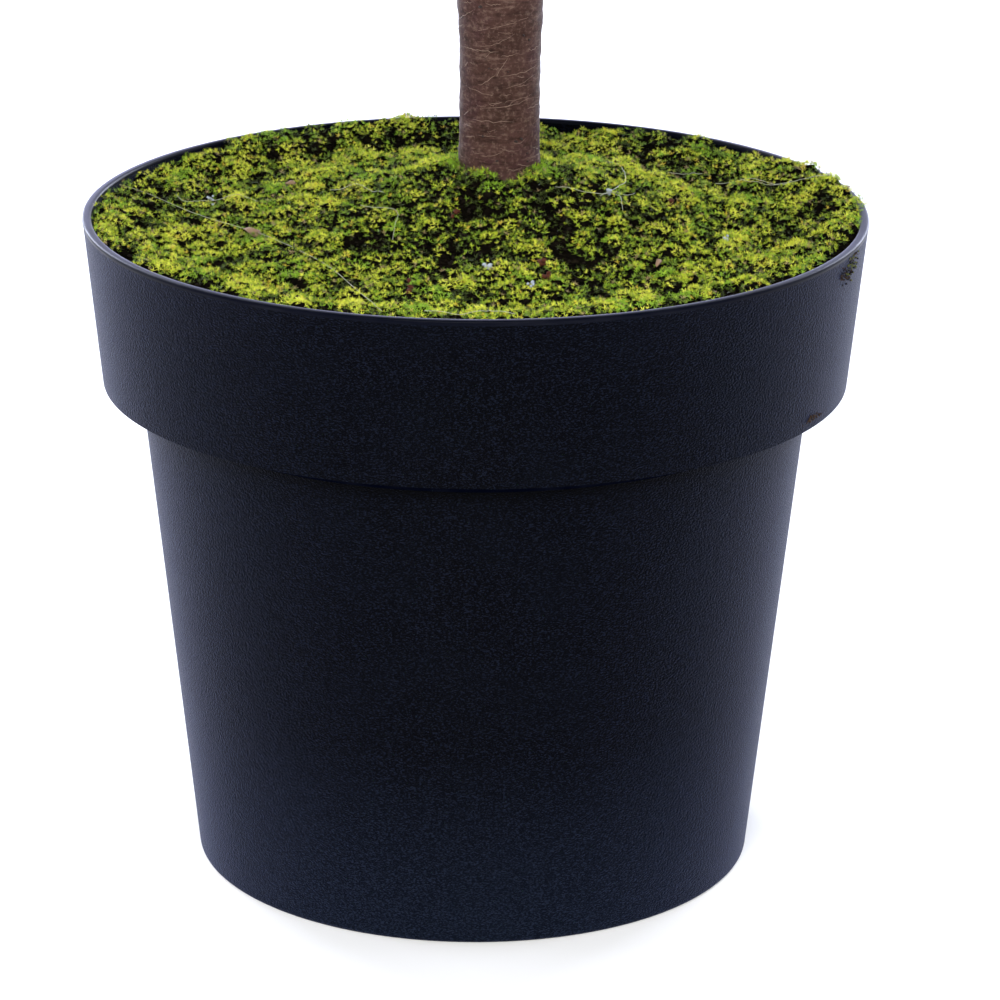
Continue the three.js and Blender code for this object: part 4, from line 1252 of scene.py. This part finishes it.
class Bough:
    """One bough: where it stands, how it bends and how thick it is, by the same rule as the solids."""

    def __init__(self, tier, bough):
        share = tier / (TIERS - 1)
        count = BOUGHS_IN_TIER[tier]

        def scatter(draw, spread):
            return (2 * seeded(tier, bough, draw) - 1) * spread

        reach = between(LOW_REACH, TOP_REACH, share ** REACH_CURVE)
        self.tier, self.bough = tier, bough
        self.half_space = math.pi / count - SPACE_MARGIN_ANGLE
        azimuth = (bough / count + TIER_TURN * tier) * FULL_TURN + scatter(1, TURN_SCATTER)
        self.height = tier_height(tier) + scatter(2, HEIGHT_SCATTER)
        self.reach = reach * (1 + scatter(3, REACH_SCATTER))
        self.rise = between(LOW_RISE, TOP_RISE, share) + scatter(4, RISE_SCATTER)
        self.sag = between(LOW_SAG, TOP_SAG, share)
        self.droop = between(LOW_SHOOT_DROOP, TOP_SHOOT_DROOP, share)
        self.shoot_step = between(LOW_SHOOT_STEP, TOP_SHOOT_STEP, share)
        self.root_radius = between(LOW_LIMB_RADIUS, TOP_LIMB_RADIUS, share)
        self.origin = stem_axis(self.height)
        self.outward = np.array([math.cos(azimuth), math.sin(azimuth), 0])
        self.left = np.array([-math.sin(azimuth), math.cos(azimuth), 0])

    def point(self, share):
        climb = share * (self.rise - self.sag * share + BOUGH_LIFT * share ** 2)
        return self.origin + self.reach * (share * self.outward + climb * UP)

    def tangent(self, share):
        climb = self.rise - 2 * self.sag * share + 3 * BOUGH_LIFT * share ** 2
        return unit(self.outward + climb * UP)

    def radius(self, share):
        return between(self.root_radius, LIMB_TIP_RADIUS, share)

    def shoot_length(self, share, angle):
        """The longest side shoot at a share of the reach, kept inside the bough's own wedge."""
        grown = (SHOOT_REACH_SHARE * self.reach + SHOOT_REACH_MORE) * (1 - share ** SHOOT_FADE)
        wedge = math.tan(self.half_space)
        width = SPRAY_WIDTH_SHARE * grown + SPRAY_WIDTH_MORE
        room = share * self.reach * wedge - width
        opening = math.sin(angle) - wedge * math.cos(angle)
        return min(grown, room / opening) if opening > 0 else grown

    def shoots(self):
        """Side shoots as (root, end, share), left and right in turn, closer together than on the solids."""
        step = self.shoot_step / self.reach / SHOOTS_PER_STEP
        end_share = 1 - TIP_SPRAY_LENGTH / self.reach / 2
        share, draw = FIRST_SHOOT_SHARE + step / 2, 0
        while share < end_share:
            angle = between(SHOOT_ANGLE_LOW, SHOOT_ANGLE_TIP, share)
            angle += 0.2 * (seeded(self.tier, self.bough, 300 + draw) - 0.5)
            length = self.shoot_length(share, angle)
            length *= 1 - SHOOT_SCATTER * seeded(self.tier, self.bough, 100 + draw)
            if length > SHOOT_SHORTEST:
                hand = 1 if draw % 2 else -1
                droop = self.droop * between(0.1, 2.3, seeded(self.tier, self.bough, 200 + draw))
                way = math.cos(angle) * self.tangent(share) + hand * math.sin(angle) * self.left - droop * UP
                root = self.point(share)
                yield root, root + unit(way) * (length - NEEDLE_LENGTH / 2), share
            share += step
            draw += 1


def all_boughs():
    return [[Bough(tier, bough) for bough in range(count)] for tier, count in enumerate(BOUGHS_IN_TIER)]


def make_boughs(tiers):
    """Every bough's wood, from a collar at the stem to its tip, with knobby bark."""
    parts, along = [], []
    for boughs in tiers:
        for bough in boughs:
            start = 0.5 * stem_radius(bough.height) / bough.reach
            shares = np.linspace(start, BOUGH_END, BOUGH_RINGS)
            points = np.array([bough.point(s) for s in shares])
            from_bark = shares * bough.reach - stem_radius(bough.height)
            collar = BOUGH_COLLAR * bough.root_radius * np.exp(-np.maximum(from_bark, 0) / BOUGH_COLLAR_FADE)
            thinning = np.where(shares > BOUGH_TIP_FROM, BOUGH_TIP_THINNING, 1)
            radii = np.array([bough.radius(s) for s in shares]) * thinning + collar
            corners, triangles = tube(points, radii, BOUGH_SIDES)
            middle = np.repeat(points, BOUGH_SIDES, axis=0)
            knobs = layered_noise(corners, BOUGH_KNOBS)
            corners = middle + (corners - middle) * (1 + knobs[:, None])
            parts.append((corners, triangles))
            along.append(np.repeat(shares, BOUGH_SIDES))
    piece = joined_mesh("bough_wood", *join_parts(parts), [bough_bark()])
    attribute = piece.data.attributes.new("along", "FLOAT", "POINT")
    attribute.data.foreach_set("value", np.concatenate(along).astype(np.float32))
    smooth(piece, 60)
    bare = [
        f"bough_{tier + 1}_{bough + 1}"
        for tier in range(TIERS_WITH_BARE_BOUGHS) for bough in range(BOUGHS_IN_TIER[tier])
    ]
    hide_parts(*bare)
    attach(piece, "root")


# Needles

def needles_along(pattern, points, radius, draws, length_scale=1.0):
    """Corners of needles set in a spiral along a twig: each stands out and bends towards the twig's tip."""
    run = run_of(points)
    step = NEEDLE_STEP * min(1, 2 * TWIG_RADIUS / radius)
    count = max(4, int(run[-1] / step))
    at = (np.arange(count) + 0.5) / count
    root = read_along(at * run[-1], run, points)
    forward = unit(read_along(at * run[-1], run, np.gradient(points, run, axis=0)))
    side, above = side_and_above(forward)
    turn = np.arange(count) * GOLDEN_TURN + draws.uniform(0, FULL_TURN)
    turn = turn + draws.normal(0, NEEDLE_TURN_SCATTER, count)
    radial = np.cos(turn)[:, None] * side + np.sin(turn)[:, None] * above
    opening = between(NEEDLE_OPEN, NEEDLE_CLOSED, at ** 2) + draws.normal(0, NEEDLE_OPEN_SCATTER, count)
    c, s = np.cos(opening)[:, None], np.sin(opening)[:, None]
    way = c * forward + s * radial
    bend = s * forward - c * radial
    across = np.cross(bend, way)
    uneven = between(NEEDLE_SHORTEST, NEEDLE_LONGEST, draws.uniform(size=count))
    length = NEEDLE_LENGTH * length_scale * uneven
    near_tip = between(1, NEEDLE_AT_TIP, smooth_step(0.82, 1, at))
    length *= near_tip * between(NEEDLE_AT_FOOT, 1, smooth_step(0, 0.12, at))
    corners = pattern[0]
    lengthwise = corners[:, 0]
    curl = NEEDLE_CURL * lengthwise ** 2
    thick = NEEDLE_HALF_WIDTH * between(1, NEEDLE_TIP_WIDTH, at)
    base = root + radial * radius * 0.5
    places = base[:, None] + (length[:, None] * lengthwise)[:, :, None] * way[:, None]
    places = places + (length[:, None] * curl)[:, :, None] * bend[:, None]
    places = places + (thick[:, None] * corners[:, 1])[:, :, None] * across[:, None]
    return places + (thick[:, None] * corners[:, 2])[:, :, None] * bend[:, None]


def bowed_line(root, end, bow, count=7):
    """A line of points from root to end that bows out by a given way at its middle."""
    share = np.linspace(0, 1, count)[:, None]
    return root + (end - root) * share + bow * np.sin(share * math.pi)


NEEDLE_FINISHES = [
    ("needles_deep", (0.032, 0.108, 0.015)),
    ("needles_mid", (0.056, 0.168, 0.021)),
    ("needles_fresh", (0.096, 0.24, 0.03)),
    ("needles_tip", (0.18, 0.35, 0.048)),
]
FRESH_NEEDLES, TIP_NEEDLES = 2, 3


def spray_finish(tier, share, draw):
    """Which green a spray has: deeper low and inside, fresher high and at the tips."""
    fresh = 1.1 * share + 0.9 * tier / (TIERS - 1) + 1.1 * draw
    return min(TIP_NEEDLES, max(0, int(fresh * 1.25 - 0.2)))


def make_needles(tiers, materials):
    """The needles of each tier in one piece, and all side twigs in another."""
    pattern = folded_blade(half_width=1, widest=0.4, fold=0.7)
    draws = np.random.default_rng(17)
    twigs = []
    for tier, boughs in enumerate(tiers):
        places, finish = [], []
        for bough in boughs:
            lines = []
            for root, end, share in bough.shoots():
                length = np.linalg.norm(end - root)
                line = bowed_line(root, end, length * (SHOOT_BOW_UP * UP - SHOOT_BOW_IN * bough.outward))
                twigs.append(tube(line[::2], TWIG_RADIUS * np.linspace(1, 0.5, len(line[::2])), 3))
                lines.append((line, TWIG_RADIUS, share))
            for low, high in NEEDLED_STRETCHES:
                stretch = np.array([bough.point(s) for s in np.linspace(low, high, 12)])
                lines.append((stretch, BOUGH_NEEDLE_SPREAD * bough.radius(low), high))
            for line, radius, share in lines:
                grown = needles_along(pattern, line, radius, draws)
                places.append(grown)
                shade = spray_finish(tier, share, draws.uniform())
                young = min(shade + 1, TIP_NEEDLES)
                old_count = int(OLD_NEEDLES * len(grown))
                finish += [shade] * old_count + [young] * (len(grown) - old_count)
        corners, triangles = copies(pattern, np.concatenate(places))
        finish = np.repeat(finish, len(pattern[1]))
        piece = joined_mesh(f"needles_tier_{tier + 1}", corners, triangles, materials, finish)
        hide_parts(*[f"foliage_{tier + 1}_{bough + 1}" for bough in range(len(boughs))])
        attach(piece, "root")
    make_leader(pattern, draws, twigs, materials)
    green_twig = plain_finish("green_twig", (0.045, 0.1, 0.02), 0.6)
    twig_piece = joined_mesh("side_twigs", *join_parts(twigs), [green_twig])
    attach(twig_piece, "root")


def make_leader(pattern, draws, twigs, materials):
    """The upright tip: a short stem, steep shoots in a spiral, and needles down the young stem below."""
    foot = stem_axis(STEM_TOP)
    height = TIP_HEIGHT - foot[2]
    top = foot + UP * (height - NEEDLE_LENGTH)
    in_stem = foot - UP * 2 * MM
    lines = [(np.linspace(in_stem, top, 12), STEM_TOP_RADIUS, TIP_NEEDLES)]
    twigs.append(tube(np.linspace(in_stem, top, 6), np.linspace(STEM_TOP_RADIUS, LIMB_TIP_RADIUS, 6), 8))
    for shoot in range(TIP_SHOOTS):
        share = shoot / (TIP_SHOOTS - 1)
        turn = shoot * GOLDEN_TURN
        out = np.array([math.cos(turn), math.sin(turn), 0])
        way = math.cos(TIP_SHOOT_RISE) * out + math.sin(TIP_SHOOT_RISE) * UP
        root = foot + UP * height * between(TIP_SHOOT_FIRST, TIP_SHOOT_LAST, share)
        length = between(TIP_SHOOT_LONG, TIP_SHOOT_SHORT, share) - NEEDLE_LENGTH / 2
        line = bowed_line(root, root + way * length, -0.06 * length * UP)
        twigs.append(tube(line, TWIG_RADIUS * np.linspace(1.2, 0.6, len(line)), 4))
        lines.append((line, TWIG_RADIUS, TIP_NEEDLES if shoot % 2 else FRESH_NEEDLES))
    for low in np.arange(NEEDLED_STEM_FROM, STEM_TOP, NEEDLED_STEM_STEP):
        high = min(low + NEEDLED_STEM_STEP, STEM_TOP)
        stretch = np.array([stem_axis(h) for h in np.linspace(low, high, 6)])
        lines.append((stretch, STEM_NEEDLE_SPREAD * stem_radius(low), FRESH_NEEDLES))
    places, finish = [], []
    for line, radius, shade in lines:
        grown = needles_along(pattern, line, radius, draws, TIP_NEEDLE_SCALE)
        places.append(grown)
        finish += [shade] * len(grown) * len(pattern[1])
    corners, triangles = copies(pattern, np.concatenate(places))
    piece = joined_mesh("needles_leader", corners, triangles, materials, finish)
    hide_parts("leader_tip")
    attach(piece, "root")


# Scene

def make_camera():
    pitch, yaw, roll = (math.radians(a) for a in (CAMERA_PITCH, CAMERA_YAW, CAMERA_ROLL))
    forward = Vector((math.sin(yaw) * math.cos(pitch), math.cos(yaw) * math.cos(pitch), -math.sin(pitch)))
    level = Vector((math.cos(yaw), -math.sin(yaw), 0))
    above = level.cross(forward)
    right = math.cos(roll) * level + math.sin(roll) * above
    top = -math.sin(roll) * level + math.cos(roll) * above
    turn = Matrix((right, top, -forward)).transposed()
    data = bpy.data.cameras.new("camera")
    data.lens = CAMERA_LENS
    data.sensor_width = CAMERA_SENSOR
    data.clip_end = 100
    camera = bpy.data.objects.new("camera", data)
    camera.matrix_world = Matrix.Translation(CAMERA_PLACE) @ turn.to_4x4()
    bpy.context.scene.collection.objects.link(camera)
    bpy.context.scene.camera = camera


def make_floor():
    deselect_all()
    bpy.ops.mesh.primitive_plane_add(size=FLOOR_SIZE)
    floor = bpy.context.object
    floor.name = "pale_floor"
    floor.data.materials.append(plain_finish("pale_floor", (0.99, 0.975, 0.93), 0.9, 0.1))


def cool_panel(name, panel, side, share):
    """One cool panel on the left (-1) or right (1), with its share of the power."""
    (out, back, up), aim, size, power = panel
    place = (side * out, back, up)
    data = bpy.data.lights.new(name, "AREA")
    data.shape = "RECTANGLE"
    data.size, data.size_y = size
    data.energy = power * share
    data.color = COOL_LIGHT
    light = bpy.data.objects.new(name, data)
    way = Vector(aim) - Vector(place)
    light.matrix_world = Matrix.Translation(place) @ way.to_track_quat("-Z", "Y").to_matrix().to_4x4()
    bpy.context.scene.collection.objects.link(light)


def make_lights():
    """A plain white studio: a soft room, a soft key above the camera and two cool panels on each side."""
    world = bpy.data.worlds.new("white_studio")
    world.use_nodes = True
    tree = world.node_tree
    background = tree.nodes["Background"]
    path = tree.nodes.new("ShaderNodeLightPath")
    tint = mix_colours(tree, path.outputs["Is Camera Ray"], COOL_LIGHT, (1, 1, 1))
    tree.links.new(tint, background.inputs["Color"])
    strength = value_range(tree, path.outputs["Is Camera Ray"], 0, 1, ROOM_LIGHT, 1)
    tree.links.new(strength, background.inputs["Strength"])
    bpy.context.scene.world = world
    for name, side, share in (("left", -1, LEFT_SHARE), ("right", 1, RIGHT_SHARE)):
        cool_panel(name + "_panel", SIDE_PANEL, side, share)
        cool_panel(name + "_rim_panel", RIM_PANEL, side, share)
    data = bpy.data.lights.new("key_light", "SUN")
    data.energy = KEY_LIGHT
    data.color = WARM_LIGHT
    data.angle = math.radians(KEY_SPREAD)
    key = bpy.data.objects.new("key_light", data)
    key.rotation_euler = Vector(KEY_WAY).to_track_quat("-Z", "Y").to_euler()
    bpy.context.scene.collection.objects.link(key)
    bpy.context.scene.view_settings.view_transform = "Standard"


make_camera()
make_floor()
make_lights()
make_pot()
make_moss_bed()
make_moss_shoots()
make_loose_bits()
make_stem()
make_bark_lines()
tiers = all_boughs()
make_boughs(tiers)
make_needles(tiers, [plain_finish(name, colour, 0.42, 0.45) for name, colour in NEEDLE_FINISHES])
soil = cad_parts["potting_soil"]
soil.data.materials.clear()
soil.data.materials.append(compost())
